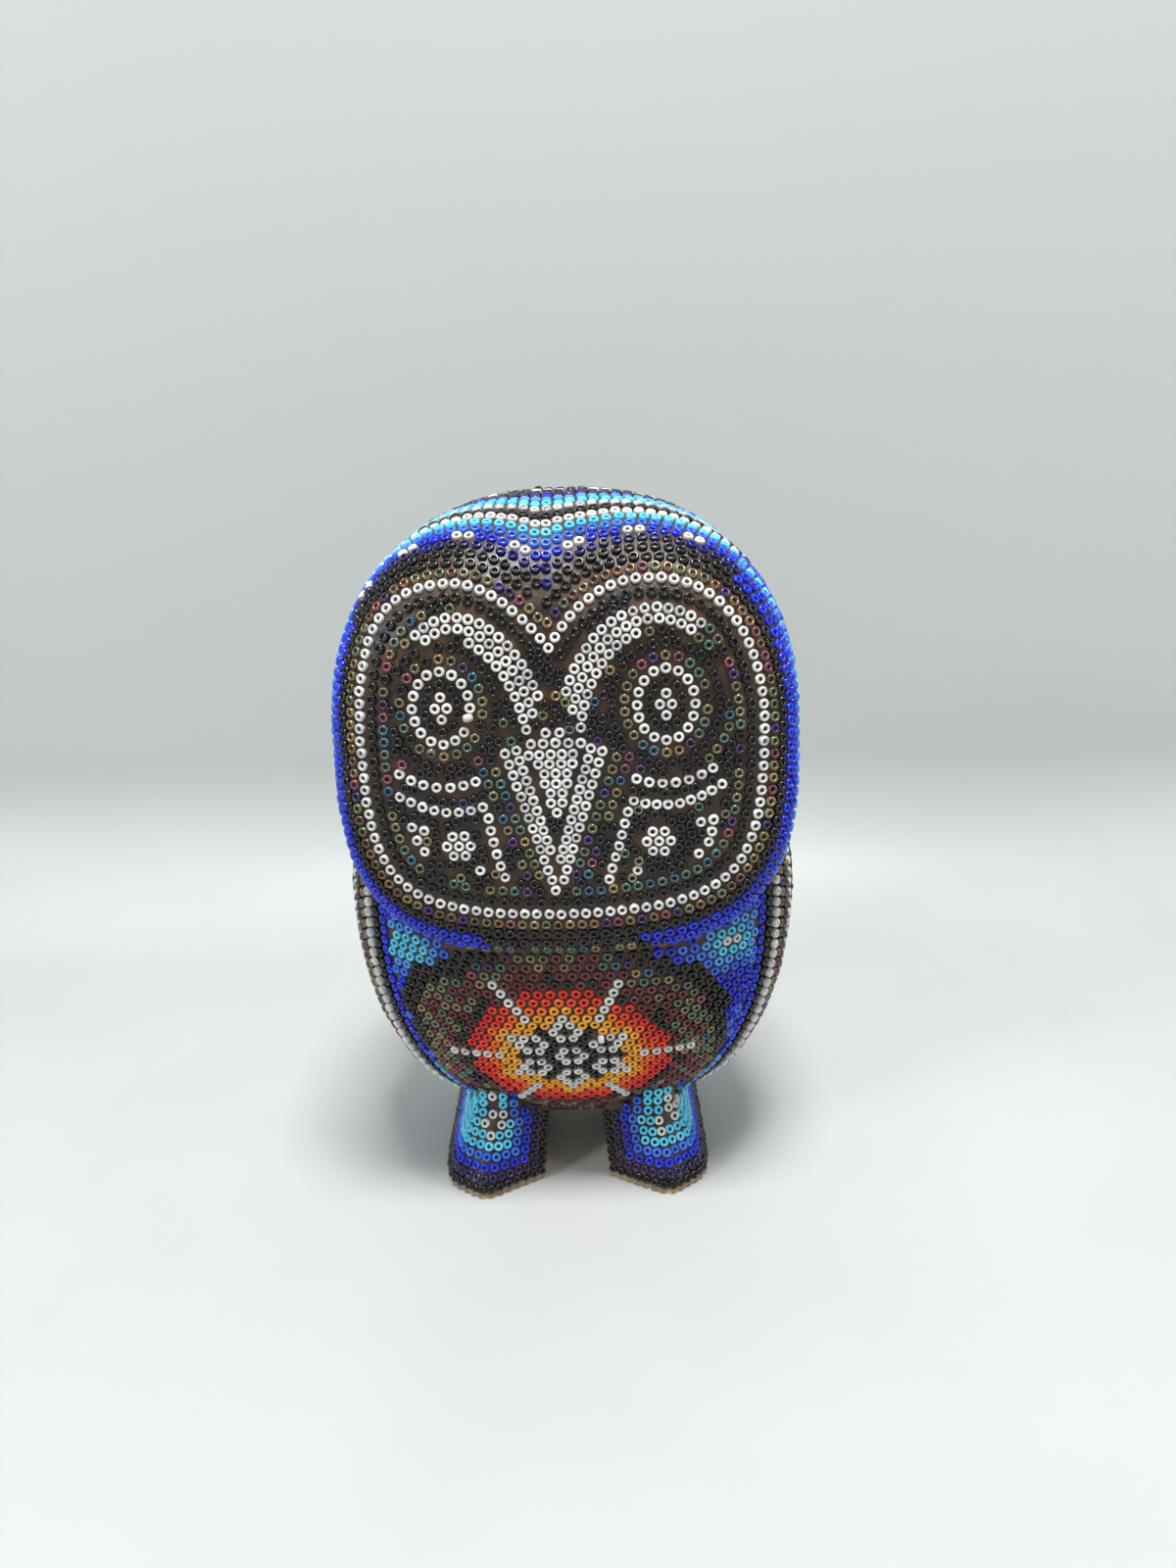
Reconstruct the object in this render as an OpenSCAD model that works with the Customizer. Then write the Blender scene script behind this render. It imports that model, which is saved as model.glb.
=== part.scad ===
// A small carved wooden owl covered in glass seed beads pressed into wax.
// Every sheet of beads is its own thin solid. The face looks along -Y, the soles stand on z = 0,
// and x = 0 is the plane that halves the carving. All sizes are in millimetres.

/* [Head] */
// Height of the middle of the head above the floor
head_z = 103; // [101:0.5:105]
// Half the width of the head
head_half_w = 46.7; // [46:0.1:48]
// Rise of the crown above the middle of the head
crown_rise = 47.5; // [45:0.5:49]
// Drop of the chin below the middle of the head
chin_drop = 43.5; // [42:0.5:45]
// Depth of the face in front of the middle of the head
face_depth = 40; // [39:0.5:42]
// Depth of the nape behind the middle of the head
nape_depth = 40; // [38:0.5:41]

/* [Torso] */
// Height of the widest part of the torso above the floor
torso_z = 65.8; // [65:0.2:66.4]
// Half the width of the torso
torso_half_w = 48; // [47:0.5:49]
// Drop from the widest part of the torso to its underside
torso_drop = 58.5; // [58:0.1:59]
// Rise of the torso's hidden top, inside the head
torso_rise = 32; // [28:1:36]
// Half the depth of the torso
torso_half_d = 37; // [36:0.5:38]

/* [Legs] */
// Distance from the middle plane to a leg's inner face at the floor
gap_half = 8; // [7.5:0.1:9.5]
// How much the gap closes in from each side by its top
gap_lean = 1.6; // [1:0.1:3]
// Distance from the middle plane to the outer edge of a foot
foot_out = 31; // [29:0.5:32]
// How far the toe reaches in front of the middle
toe_reach = 32.5; // [30:0.5:33]
// How far the heel reaches behind the middle
heel_reach = 20; // [18:0.5:24]

/* [Bead sheets] */
// Thickness of a sheet of beads
bead_t = 1.3; // [1:0.1:1.4]
// Thickness of the wax
wax_t = 0.8; // [0.5:0.1:1]
// Free space between neighbouring pieces
gap = 0.3; // [0.3:0.05:0.4]
// Distance from one row of beads to the next
row = 2.05; // [1.9:0.05:2.1]
// How far a raised motif stands above the field it sits on
relief = 0.5; // [0.4:0.1:0.7]
// Shift of the beaded pattern from the middle plane, as it was laid by hand
pattern_x = -1.2; // [-2:0.1:2]

/* [Hidden] */

mat_lo = -bead_t;              // underside of a sheet, measured from the beaded skin
field_hi = -relief;            // top of a field that carries raised motifs
motif_lo = field_hi + gap;     // underside of a raised motif
wax_hi = mat_lo - gap;
wax_lo = wax_hi - wax_t;
core_off = wax_lo - gap;       // surface of the bare wood

crown_power = 2.4;             // squareness of the head's outline above its middle
chin_power = 2.9;              // and below it
brow_flat = 2.5;               // flatness of the face where it turns into the crown
side_flat = 6;                 // and into the sides
chin_flat = 10;                // and into the chin
nape_power = 2.3;              // roundness of the back of the head
plan_power = 2.5;              // squareness of the torso seen from above
flank_power = 2.3;             // roundness of the torso seen from the front
belly_power = 2;               // and seen from the side

black = "#17161a";
white = "#f2f1ee";
bronze = "#6b4a33";
navy = "#1a1f8c";
blue = "#1c49d8";
turquoise = "#41bfd6";
red = "#d8241c";
amber = "#f4a11a";
maroon = "#4d2024";
dark_lustre = "#26302f";
wax = "#3a2417";
wood = "#cfa877";

function signed_pow(v, p) = sign(v) * pow(abs(v), p);

// ---- The beaded skin. "off" moves a point outwards from it.

// Flatness of the front of the head in the direction [x, z] from its middle.
function face_power(x, z) =
    let (up = z / max(norm([x, z]), 0.001))
    up > 0 ? side_flat - (side_flat - brow_flat) * pow(up, 2.3) : side_flat - (chin_flat - side_flat) * up;

// How far out the point at (x, z) from the head's middle lies: 1 is the head's outline seen from the front.
function outline_gauge(x, z, off) =
    let (
        n = z > 0 ? crown_power : chin_power,
        rise = (z > 0 ? crown_rise : chin_drop) + off
    )
    pow(pow(abs(x) / (head_half_w + off), n) + pow(abs(z) / rise, n), 1 / n);

// How far out a point is: under 1 is inside the head.
function head_gauge(p, off) =
    let (
        m = p.y < 0 ? face_power(p.x, p.z - head_z) : nape_power,
        depth = (p.y < 0 ? face_depth : nape_depth) + off
    )
    pow(pow(outline_gauge(p.x, p.z - head_z, off), m) + pow(abs(p.y) / depth, m), 1 / m);

beyond = 10;                   // the gauge of a point above or below the whole torso

// How far height z is from the torso's widest level: 1 is its top or its underside.
function torso_level(z, off) = abs(z - torso_z) / ((z > torso_z ? torso_rise : torso_drop) + off);

// The torso's half width and half depth at height z.
function torso_half(z, off) =
    let (k = min(torso_level(z, off), 0.9999))
    [
        (torso_half_w + off) * pow(1 - pow(k, flank_power), 1 / flank_power),
        (torso_half_d + off) * pow(1 - pow(k, belly_power), 1 / belly_power)
    ];

// The same for the torso, measured level with the point.
function torso_gauge(p, off) =
    let (
        half = torso_half(p.z, off),
        across = pow(abs(p.x) / half.x, plan_power),
        along = pow(abs(p.y) / half.y, plan_power)
    )
    torso_level(p.z, off) > 0.9999 ? beyond : pow(across + along, 1 / plan_power);

// A point of the head in the direction that turns clockwise by a from the top, seen from the front,
// and tips back by g: 0 is the middle of the face and 180 the nape.
function head_at(a, g, off) =
    let (
        d = head_half_w * [sin(g) * sin(a), -cos(g), sin(g) * cos(a)],
        head_mid = [0, 0, head_z]
    )
    head_mid + d / head_gauge(head_mid + d, off);

// A point of the face straight behind (x, z).
function face_at(p, off) =
    let (
        x = p[0] + pattern_x,
        m = face_power(x, p[1] - head_z),
        q = min(outline_gauge(x, p[1] - head_z, off), 0.995)
    )
    [x, -(face_depth + off) * pow(1 - pow(q, m), 1 / m), p[1]];

// A point of the torso: a turns from the front towards +X, z is the height.
function torso_at(a, z, off) =
    let (half = torso_half(z, off))
    [
        half.x * signed_pow(sin(a), 2 / plan_power),
        -half.y * signed_pow(cos(a), 2 / plan_power),
        z
    ];

// A point of the chest straight behind (x, z).
function chest_at(p, off) =
    let (
        x = p[0] + pattern_x,
        half = torso_half(p[1], off),
        v = 1 - pow(abs(x) / half.x, plan_power)
    )
    [x, -half.y * pow(max(v, 0.001), 1 / plan_power), p[1]];

// ---- Where a sheet has to stop so that head and torso sheets stay apart.

clear_gauge = 1.012;           // a sheet ends where the other body's gauge falls to this
skirt_z = 26;                  // the torso's sheets end here, above the tops of the legs
last_turn = 178;               // a ring round the nape stays open by a slit below

// How far a head ring runs down from the top before it would meet the torso.
function ring_end(g, a = last_turn) =
    a <= 90 || torso_gauge(head_at(a, g, 0), 0) > clear_gauge ? a : ring_end(g, a - 1);

// How high the torso's sheets reach before they would meet the head.
function shoulder_z(a, off = 0, z = 90) =
    z <= 50 || head_gauge(torso_at(a, z, off), 0) > clear_gauge ? z : shoulder_z(a, off, z - 0.5);

// ---- Building a sheet

// A closed sheet between the heights lo and hi over the skin. surf(u, v, off) takes u and v from 0 to 1.
module sheet(surf, nu, nv, lo, hi, closed = false) {
    cols = closed ? nu : nu + 1;
    side = cols * (nv + 1);
    top = [for (i = [0 : cols - 1]) for (j = [0 : nv]) surf(i / nu, j / nv, hi)];
    bottom = [for (i = [0 : cols - 1]) for (j = [0 : nv]) surf(i / nu, j / nv, lo)];
    id = function (i, j) (i % cols) * (nv + 1) + j;
    mid = id(floor(nu / 2), floor(nv / 2));
    turned = cross(top[mid + nv + 1] - top[mid], top[mid + 1] - top[mid]) * (top[mid] - bottom[mid]) < 0;
    quads = concat(
        [for (i = [0 : nu - 1]) for (j = [0 : nv - 1])
            [id(i, j), id(i + 1, j), id(i + 1, j + 1), id(i, j + 1)]],
        [for (i = [0 : nu - 1]) for (j = [0 : nv - 1])
            [side + id(i, j), side + id(i, j + 1), side + id(i + 1, j + 1), side + id(i + 1, j)]],
        [for (i = [0 : nu - 1]) [side + id(i, 0), side + id(i + 1, 0), id(i + 1, 0), id(i, 0)]],
        [for (i = [0 : nu - 1]) [id(i, nv), id(i + 1, nv), side + id(i + 1, nv), side + id(i, nv)]],
        closed ? [] : [for (j = [0 : nv - 1]) [id(0, j), id(0, j + 1), side + id(0, j + 1), side + id(0, j)]],
        closed ? [] :
            [for (j = [0 : nv - 1]) [side + id(nu, j), side + id(nu, j + 1), id(nu, j + 1), id(nu, j)]]
    );
    tris = [for (q = quads) each [[q[0], q[1], q[2]], [q[0], q[2], q[3]]]];
    polyhedron(concat(top, bottom), turned ? tris : [for (t = tris) [t[2], t[1], t[0]]]);
}

// A round or lobed patch: like a sheet, but v = 0 is a single point at the middle.
module patch(surf, nu, nv, lo, hi) {
    side = nu * nv + 1;
    top = [surf(0, 0, hi), for (i = [0 : nu - 1]) for (j = [1 : nv]) surf(i / nu, j / nv, hi)];
    bottom = [surf(0, 0, lo), for (i = [0 : nu - 1]) for (j = [1 : nv]) surf(i / nu, j / nv, lo)];
    id = function (i, j) j == 0 ? 0 : (i % nu) * nv + j;
    turned = cross(top[id(0, 1)] - top[0], top[id(1, 1)] - top[0]) * (top[0] - bottom[0]) > 0;
    skin = [for (i = [0 : nu - 1]) each [
        [0, id(i + 1, 1), id(i, 1)],
        for (j = [1 : nv - 1]) each [
            [id(i, j), id(i + 1, j), id(i + 1, j + 1)],
            [id(i, j), id(i + 1, j + 1), id(i, j + 1)]
        ]
    ]];
    rim = [for (i = [0 : nu - 1]) each [
        [id(i, nv), id(i + 1, nv), side + id(i + 1, nv)],
        [id(i, nv), side + id(i + 1, nv), side + id(i, nv)]
    ]];
    tris = concat(skin, [for (t = skin) [side + t[2], side + t[1], side + t[0]]], rim);
    polyhedron(concat(top, bottom), turned ? [for (t = tris) [t[2], t[1], t[0]]] : tris);
}

// ---- Plane curves for the pattern, as [x, z] points

function bezier(p, t) =
    p[0] * pow(1 - t, 3) + 3 * p[1] * pow(1 - t, 2) * t + 3 * p[2] * (1 - t) * t * t + p[3] * pow(t, 3);

function mirrored_x(p, side) = [side * p[0], p[1]];

function left_of(path, u) =
    let (
        d = path(min(u + 0.01, 1)) - path(max(u - 0.01, 0)),
        l = norm(d)
    )
    [-d[1], d[0]] / l;

// A ribbon of beads of the given width along a path on the face.
module face_ribbon(path, width, steps, lo, hi, shift = 0) {
    sheet(
        function (u, v, off) face_at(path(u) + left_of(path, u) * (shift + (v - 0.5) * width), off),
        steps, 2, lo, hi
    );
}

// Outline of the face mask's white row: a rounded box whose top dips into two lobes.
mask_mid_z = 104;
mask_half_w = 38;
mask_half_h = 33;
dip_depth = 12.5;
function mask_radius(a) =
    let (
        n = cos(a) > 0 ? 2.6 : 3.4,
        box = pow(pow(abs(sin(a)) / mask_half_w, n) + pow(abs(cos(a)) / mask_half_h, n), -1 / n),
        near_top = a > 180 ? 360 - a : a
    )
    box - (near_top < 32 ? dip_depth * pow(1 - near_top / 32, 1.3) : 0);
function mask_at(a, extra = 0) = (mask_radius(a) + extra) * [sin(a), cos(a)] + [0, mask_mid_z];

// A closed band that follows the mask's outline, from extra distance e0 out to e1.
module mask_band(e0, e1, hi) {
    sheet(
        function (u, v, off) face_at(mask_at(u * 360, e0 + v * (e1 - e0)), off),
        72, 1, mat_lo, hi, closed = true
    );
}

// ---- Wood

// Distance from the core's middle to its surface in direction d.
core_mid = [0, 0, 75];
function in_core(p) = head_gauge(p, core_off) < 1 || torso_gauge(p, core_off) < 1;
function core_reach(d, near = 20, far = 90, n = 14) =
    n == 0 ? near :
    let (half = (near + far) / 2)
    in_core(core_mid + half * d) ? core_reach(d, half, far, n - 1) : core_reach(d, near, half, n - 1);

module body_core() {
    rings = 32;
    cols = 44;
    dir = function (i, j)
        let (tilt = 180 * j / rings, turn = 360 * i / cols)
        [sin(tilt) * sin(turn), -sin(tilt) * cos(turn), cos(tilt)];
    points = concat(
        [core_mid + [0, 0, core_reach([0, 0, 1])], core_mid - [0, 0, core_reach([0, 0, -1])]],
        [for (j = [1 : rings - 1]) for (i = [0 : cols - 1]) core_mid + dir(i, j) * core_reach(dir(i, j))]
    );
    id = function (i, j) 2 + (j - 1) * cols + i % cols;
    faces = concat(
        [for (i = [0 : cols - 1]) [0, id(i + 1, 1), id(i, 1)]],
        [for (i = [0 : cols - 1]) [1, id(i, rings - 1), id(i + 1, rings - 1)]],
        [for (j = [1 : rings - 2]) for (i = [0 : cols - 1]) each [
            [id(i, j), id(i + 1, j), id(i + 1, j + 1)],
            [id(i, j), id(i + 1, j + 1), id(i, j + 1)]
        ]]
    );
    color(wood) polyhedron(points, faces);
}

// Height of the torso's underside at (x, y), found by halving the range it can be in.
function belly_z(p, off, low = 5, high = 66, n = 12) =
    n == 0 ? low :
    let (half = (low + high) / 2)
    torso_gauge([p[0], p[1], half], off) > 1
        ? belly_z(p, off, half, high, n - 1)
        : belly_z(p, off, low, half, n - 1);

// Corners of a leg at height z seen from above, going round from the inner front one. grow moves the
// beaded sides outwards.
leg_levels = 6;
leg_x = -0.8;                  // how far both legs stand to the side of the middle plane
waist_z = 17;                  // height at which a leg is narrowest
ridge_x = 20.8;                // distance of a foot's front ridge from the middle plane
ridge_lean = 3.5;              // how far the ridge moves inwards by the waist
outer_lean = 7.5;              // how far the outer side moves inwards by the waist
front_set = 8.2;               // how far the front edges lie behind the toe
front_rake = 4;                // how much further back they are by the waist
toe_rake = 9.5;                // how far the ridge falls back by the waist
heel_rake = 5;                 // how far the heel moves forwards by the waist
heel_cut = [5, 3];             // what is cut from the outer rear corner
function leg_corners(z, grow) =
    let (
        t = min(z / waist_z, 1),
        inner = gap_half - gap_lean * t,
        outer = foot_out - outer_lean * t + grow,
        front = toe_reach - front_set - front_rake * t + grow,
        ridge = toe_reach - toe_rake * t + grow * 1.3,
        heel = heel_reach - heel_rake * t + grow
    )
    [
        [inner, -front],
        [ridge_x - ridge_lean * t, -ridge],
        [outer, -front],
        [outer, heel - heel_cut.y],
        [outer - heel_cut.x, heel],
        [inner, heel]
    ];

// Corner i of the leg on the given side, at the share t of the way from the sole to the belly.
function leg_at(side, i, t, grow, top_off) =
    let (
        place = function (p) [side * p.x + leg_x, p.y],
        top_z = belly_z(place(leg_corners(waist_z, grow)[i]), top_off) - gap,
        p = place(leg_corners(t * top_z, grow)[i])
    )
    [p.x, p.y, t * top_z];

module leg(side) {
    n = 6;
    points = [for (k = [0 : leg_levels]) for (i = [0 : n - 1])
        leg_at(side, i, k / leg_levels, mat_lo - gap, core_off)];
    walls = [for (k = [0 : leg_levels - 1]) for (i = [0 : n - 1])
        let (a = k * n + i, b = k * n + (i + 1) % n) each [[a, b, b + n], [a, b + n, a + n]]];
    top = leg_levels * n;
    caps = concat(
        [[0, 2, 1], [0, 3, 2], [0, 5, 3], [5, 4, 3]],
        [for (t = [[0, 1, 2], [0, 2, 3], [0, 3, 5], [5, 3, 4]]) [top, top, top] + t]
    );
    tris = concat(walls, caps);
    color(wood) polyhedron(points, side > 0 ? [for (t = tris) [t[2], t[1], t[0]]] : tris);
}

// ---- Wax

// How far a head sheet tips back under the chin before it would meet the torso.
function chin_end(a, g) =
    g >= 89 || torso_gauge(head_at(a, g, 0), 0) < clear_gauge ? g : chin_end(a, g + 0.25);

module wax_face() {
    color(wax)
    patch(function (u, v, off) head_at(u * 360, v * 58, off), 48, 6, wax_lo, wax_hi);
}

module wax_crown() {
    color(wax)
    sheet(
        function (u, v, off)
            let (g = 58.5 + 113 * v)
            head_at((2 * u - 1) * ring_end(g), g, off),
        36, 8, wax_lo, wax_hi
    );
}

module wax_chest() {
    color(wax) torso_sheet(-88, 88, skirt_z, wax_lo, wax_hi, 24, 9);
}

module wax_back() {
    color(wax) torso_sheet(92, 268, skirt_z, wax_lo, wax_hi, 24, 9);
}

// A sheet of the torso between two angles, from height z0 up to the head.
module torso_sheet(a0, a1, z0, lo, hi, nu, nv) {
    sheet(
        function (u, v, off)
            let (a = a0 + u * (a1 - a0))
            torso_at(a, z0 + v * (shoulder_z(a) - z0), off),
        nu, nv, lo, hi
    );
}

// ---- Face

module face_field() {
    color(dark_lustre)
    patch(
        function (u, v, off)
            face_at([0, mask_mid_z] + v * (mask_at(u * 360, -1 - gap) - [0, mask_mid_z]), off),
        72, 5, mat_lo, field_hi
    );
}

module face_loop_white() {
    color(white) mask_band(-1, 1, 0);
}

module face_rim_bronze() {
    color(bronze) mask_band(1 + gap, 1 + row, 0);
}

module face_rim_black() {
    color(black) mask_band(1 + row + gap, 1 + 2 * row, 0);
}

eye = [20.8, 113.1];
eye_ring = [5.4, 6.8];

module eye_ring(side) {
    color(white)
    sheet(
        function (u, v, off)
            let (k = 1 + (v - 0.5) * 0.33)
            face_at(
                mirrored_x(eye + k * [eye_ring[0] * sin(u * 360), eye_ring[1] * cos(u * 360)], side), off
            ),
        32, 1, motif_lo, 0, closed = true
    );
}

module eye_centre(side) {
    color(white)
    patch(
        function (u, v, off)
            let (r = v * (2.6 + 0.5 * cos(u * 720)))
            face_at(mirrored_x(eye + r * [sin(u * 360), cos(u * 360)], side), off),
        24, 2, motif_lo, 0
    );
}

brow_curve = [[25.5, 127], [14, 134], [8, 124], [2.8, 111.5]];
module brow(side) {
    path = function (u) mirrored_x(bezier(brow_curve, u), side);
    color(white)
    sheet(
        function (u, v, off)
            let (width = 2.2 + 2.8 * sin(u * 150))
            face_at(path(u) + left_of(path, u) * (v - 0.5) * width, off),
        18, 2, motif_lo, 0
    );
}

arc_from = -22;
arc_to = 40;
module eye_arc(side) {
    path = function (u)
        let (a = 180 - arc_from - u * (arc_to - arc_from))
        mirrored_x(eye + 15 * [sin(a), cos(a)], side);
    color(white) face_ribbon(path, 2, 12, motif_lo, 0);
}

cheek_curve = [[30, 96], [22, 91.5], [11.5, 97], [9.8, 79.8]];
module cheek_line(side) {
    path = function (u) mirrored_x(bezier(cheek_curve, u), side);
    color(white) face_ribbon(path, 2, 18, motif_lo, 0);
}

cheek_flower_mid = [19.1, 86.2];
module cheek_flower(side) {
    color(white)
    patch(
        function (u, v, off)
            let (r = v * (2.9 + 0.45 * cos(u * 360 * 6)))
            face_at(mirrored_x(cheek_flower_mid + r * [sin(u * 360), cos(u * 360)], side), off),
        36, 2, motif_lo, 0
    );
}

cheek_hook_curve = [[29, 91], [24, 89], [31, 88.5], [26.5, 83.5]];
module cheek_hook(side) {
    path = function (u) mirrored_x(bezier(cheek_hook_curve, u), side);
    color(white) face_ribbon(path, 2, 8, motif_lo, 0);
}

beak_top = [9.2, 105.5];
beak_tip_z = 77.5;
module beak_outline() {
    path = function (u)
        u < 0.5
            ? [-beak_top[0] * (1 - 2 * u), beak_top[1] + (beak_tip_z - beak_top[1]) * 2 * u]
            : [beak_top[0] * (2 * u - 1), beak_tip_z + (beak_top[1] - beak_tip_z) * (2 * u - 1)];
    color(white)
    sheet(
        function (u, v, off) face_at(path(u) + [0, (v - 0.3) * 7.5 * (1 + abs(u - 0.5) * 0.2)] * 0.9, off),
        12, 2, motif_lo, 0
    );
}

module beak_wedge() {
    color(white)
    patch(
        function (u, v, off)
            let (a = u * 360, r = 7.2 / (1.35 + cos(a) * 0.35 + 0.5 * abs(sin(a))))
            face_at([0, 101.5] + v * r * [0.62 * sin(a), 1.15 * cos(a)], off),
        24, 2, motif_lo, 0
    );
}

// ---- Crown, sides and back of the head: bands that run round behind the face

// How far back the mask's outer edge lies, in direction a.
mask_edge = 1 + 2 * row;
function edge_tip(a) =
    let (p = face_at(mask_at(a < 0 ? a + 360 : a, mask_edge + gap), 0))
    atan2(norm([p.x, p.z - head_z]), -p.y);

// A band between two fractions of the way from the mask's edge to the nape.
side_tip = 52;
band_gap = 0.0025;
module head_band(f0, f1, nu, nv) {
    sheet(
        function (u, v, off)
            let (
                f = f0 + band_gap + v * (f1 - f0 - 2 * band_gap),
                a = (2 * u - 1) * ring_end(side_tip + (180 - side_tip) * f),
                start = edge_tip(a)
            )
            head_at(a, start + (180 - start) * f, off),
        nu, nv, mat_lo, 0
    );
}

module chin_underside() {
    color(black)
    sheet(
        function (u, v, off)
            let (
                a = 128 + 104 * u,
                start = edge_tip(a) + 0.4
            )
            head_at(a, start + v * (chin_end(a, start + 1) - start), off),
        24, 1, mat_lo, 0
    );
}

module crown_navy() {
    color(navy) head_band(0, 0.06, 48, 1);
}

module crown_blue() {
    color(blue) head_band(0.06, 0.16, 48, 2);
}

module crown_turquoise() {
    color(turquoise) head_band(0.16, 0.23, 48, 1);
}

module crown_stripe() {
    color(white) head_band(0.23, 0.32, 48, 2);
}

module crown_rear_blue() {
    color(blue) head_band(0.32, 0.56, 40, 4);
}

module nape_bronze() {
    color(bronze) head_band(0.56, 0.8, 36, 4);
}

module nape_rosette() {
    color(red)
    patch(function (u, v, off) head_at(u * 360, 180 - v * 24, off), 28, 3, mat_lo, 0);
}

// ---- Chest and back

flower_z = 35.5;

// The flower wraps round the belly, so its upper and lower halves are not as tall as it is wide.
function flower_squash(c) = c > 0 ? 0.86 : 0.7;

// A star or flower on the chest: radius r with lobes of height wave.
function flower_at(u, r, wave, off) =
    let (
        k = r + wave * cos(u * 360 * 6),
        c = cos(u * 360)
    )
    chest_at([0, flower_z] + k * [sin(u * 360), c * flower_squash(c)], off);

module flower_ring(r0, w0, r1, w1, nu, lo, hi) {
    sheet(
        function (u, v, off) flower_at(u, r0 + v * (r1 - r0), w0 + v * (w1 - w0), off),
        nu, 2, lo, hi, closed = true
    );
}

module chest_field() {
    color(maroon) torso_sheet(-52, 52, skirt_z, mat_lo, field_hi, 24, 12);
}

module chest_petals() {
    color(dark_lustre) flower_ring(21, 0.9, 24.5, 1.1, 60, motif_lo, 0);
}

module chest_red() {
    color(red) flower_ring(14.6, 1.1, 20.6, 0.9, 60, motif_lo, 0);
}

module chest_amber() {
    color(amber) flower_ring(12, 1.2, 14.2, 1.1, 60, motif_lo, 0);
}

module chest_star() {
    color(white)
    patch(function (u, v, off) flower_at(u, v * 11.6, v * 1.2, off), 48, 3, motif_lo, 0);
}

module chest_rays() {
    color(white)
    for (k = [0 : 5])
        sheet(
            function (u, v, off)
                let (
                    a = 30 + 60 * k,
                    along = [sin(a), cos(a) * flower_squash(cos(a))],
                    across = [cos(a), -sin(a)]
                )
                chest_at([0, flower_z] + along * (14.5 + 11 * u) + across * (v - 0.5) * 1.8, off),
            4, 1, gap, gap + relief
        );
}

module chest_corner(side) {
    color(turquoise) torso_sheet(side * 53, side * 66, skirt_z, mat_lo, 0, 4, 10);
}

module back_field() {
    color(blue) torso_sheet(118, 242, skirt_z, mat_lo, field_hi, 20, 12);
}

module back_rosette() {
    color(red)
    patch(
        function (u, v, off)
            let (r = v * (15 + 1.5 * cos(u * 360 * 6)))
            torso_at(180 + r * 1.25 * sin(u * 360), 48 + r * cos(u * 360), off),
        36, 3, motif_lo, 0
    );
}

// ---- Wings: raised panels down each side that taper to the rear

wing_hi = 1.6;
function wing_at(side, u, v, off) =
    let (
        z0 = 19 + 10 * pow(1 - u, 2),
        a = 68 + 46 * u + 5 * (1 - v),
        z = z0 + v * (shoulder_z(a, wing_hi) - z0)
    )
    torso_at(side * a, z, off);

module wing(side) {
    color(black)
    sheet(function (u, v, off) wing_at(side, u, v, off), 8, 14, mat_lo, wing_hi - relief);
}

module wing_stripe(side) {
    color(white)
    sheet(
        function (u, v, off) wing_at(side, 0.2 + 0.08 * u, 0.03 + 0.94 * v, off),
        1, 14, wing_hi - relief + gap, wing_hi
    );
}

// ---- Feet: beads over the front, outer side and heel of each leg

sole_strip = 0.14;
module leg_sheet(side, first, last, steps, t0, t1, lo, hi) {
    sheet(
        function (u, v, off)
            let (
                k = first + u * (last - first),
                i = floor(min(k, last - 0.001)),
                t = t0 + v * (t1 - t0),
                share = k - i
            )
            leg_at(side, i, t, off, 0) * (1 - share) + leg_at(side, i + 1, t, off, 0) * share,
        steps, 6, lo, hi
    );
}

module foot_beads(side) {
    color(navy) leg_sheet(side, 0, 4, 16, sole_strip, 0.98, mat_lo, 0);
}

module foot_motif(side) {
    color(turquoise) leg_sheet(side, 0.5, 1.6, 6, 0.45, 0.8, gap, gap + relief);
}

// ---- Assembly

body_core();
leg(-1);  // leg_left
leg(1);  // leg_right
wax_face();
wax_crown();
wax_chest();
wax_back();
face_field();
face_rim_black();
face_rim_bronze();
face_loop_white();
brow(-1);  // brow_left
brow(1);  // brow_right
eye_ring(-1);  // eye_ring_left
eye_ring(1);  // eye_ring_right
eye_centre(-1);  // eye_centre_left
eye_centre(1);  // eye_centre_right
eye_arc(-1);  // eye_arc_left
eye_arc(1);  // eye_arc_right
cheek_line(-1);  // cheek_line_left
cheek_line(1);  // cheek_line_right
cheek_flower(-1);  // cheek_flower_left
cheek_flower(1);  // cheek_flower_right
cheek_hook(-1);  // cheek_hook_left
cheek_hook(1);  // cheek_hook_right
beak_outline();
beak_wedge();
chin_underside();
crown_navy();
crown_blue();
crown_turquoise();
crown_stripe();
crown_rear_blue();
nape_bronze();
nape_rosette();
chest_field();
chest_petals();
chest_red();
chest_amber();
chest_star();
chest_rays();
chest_corner(-1);  // chest_corner_left
chest_corner(1);  // chest_corner_right
back_field();
back_rosette();
wing(-1);  // wing_left
wing(1);  // wing_right
wing_stripe(-1);  // wing_stripe_left
wing_stripe(1);  // wing_stripe_right
foot_beads(-1);  // foot_beads_left
foot_beads(1);  // foot_beads_right
foot_motif(-1);  // foot_motif_left
foot_motif(1);  // foot_motif_right
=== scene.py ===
"""A small carved wooden owl skinned with glass seed beads that are pressed into dark wax.

The layout works in millimetres on the carving's own skin, in the frame of the CAD part: +Z up, the face
looks along -Y, the soles stand on z = 0. Every bead is a ring of glass of its own, laid in rows as a
bead worker lays them: first the white figures, then the rows beside them, then the gaps are filled.
"""
import math

import bpy
import numpy as np
from mathutils import Matrix, Vector


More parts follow.
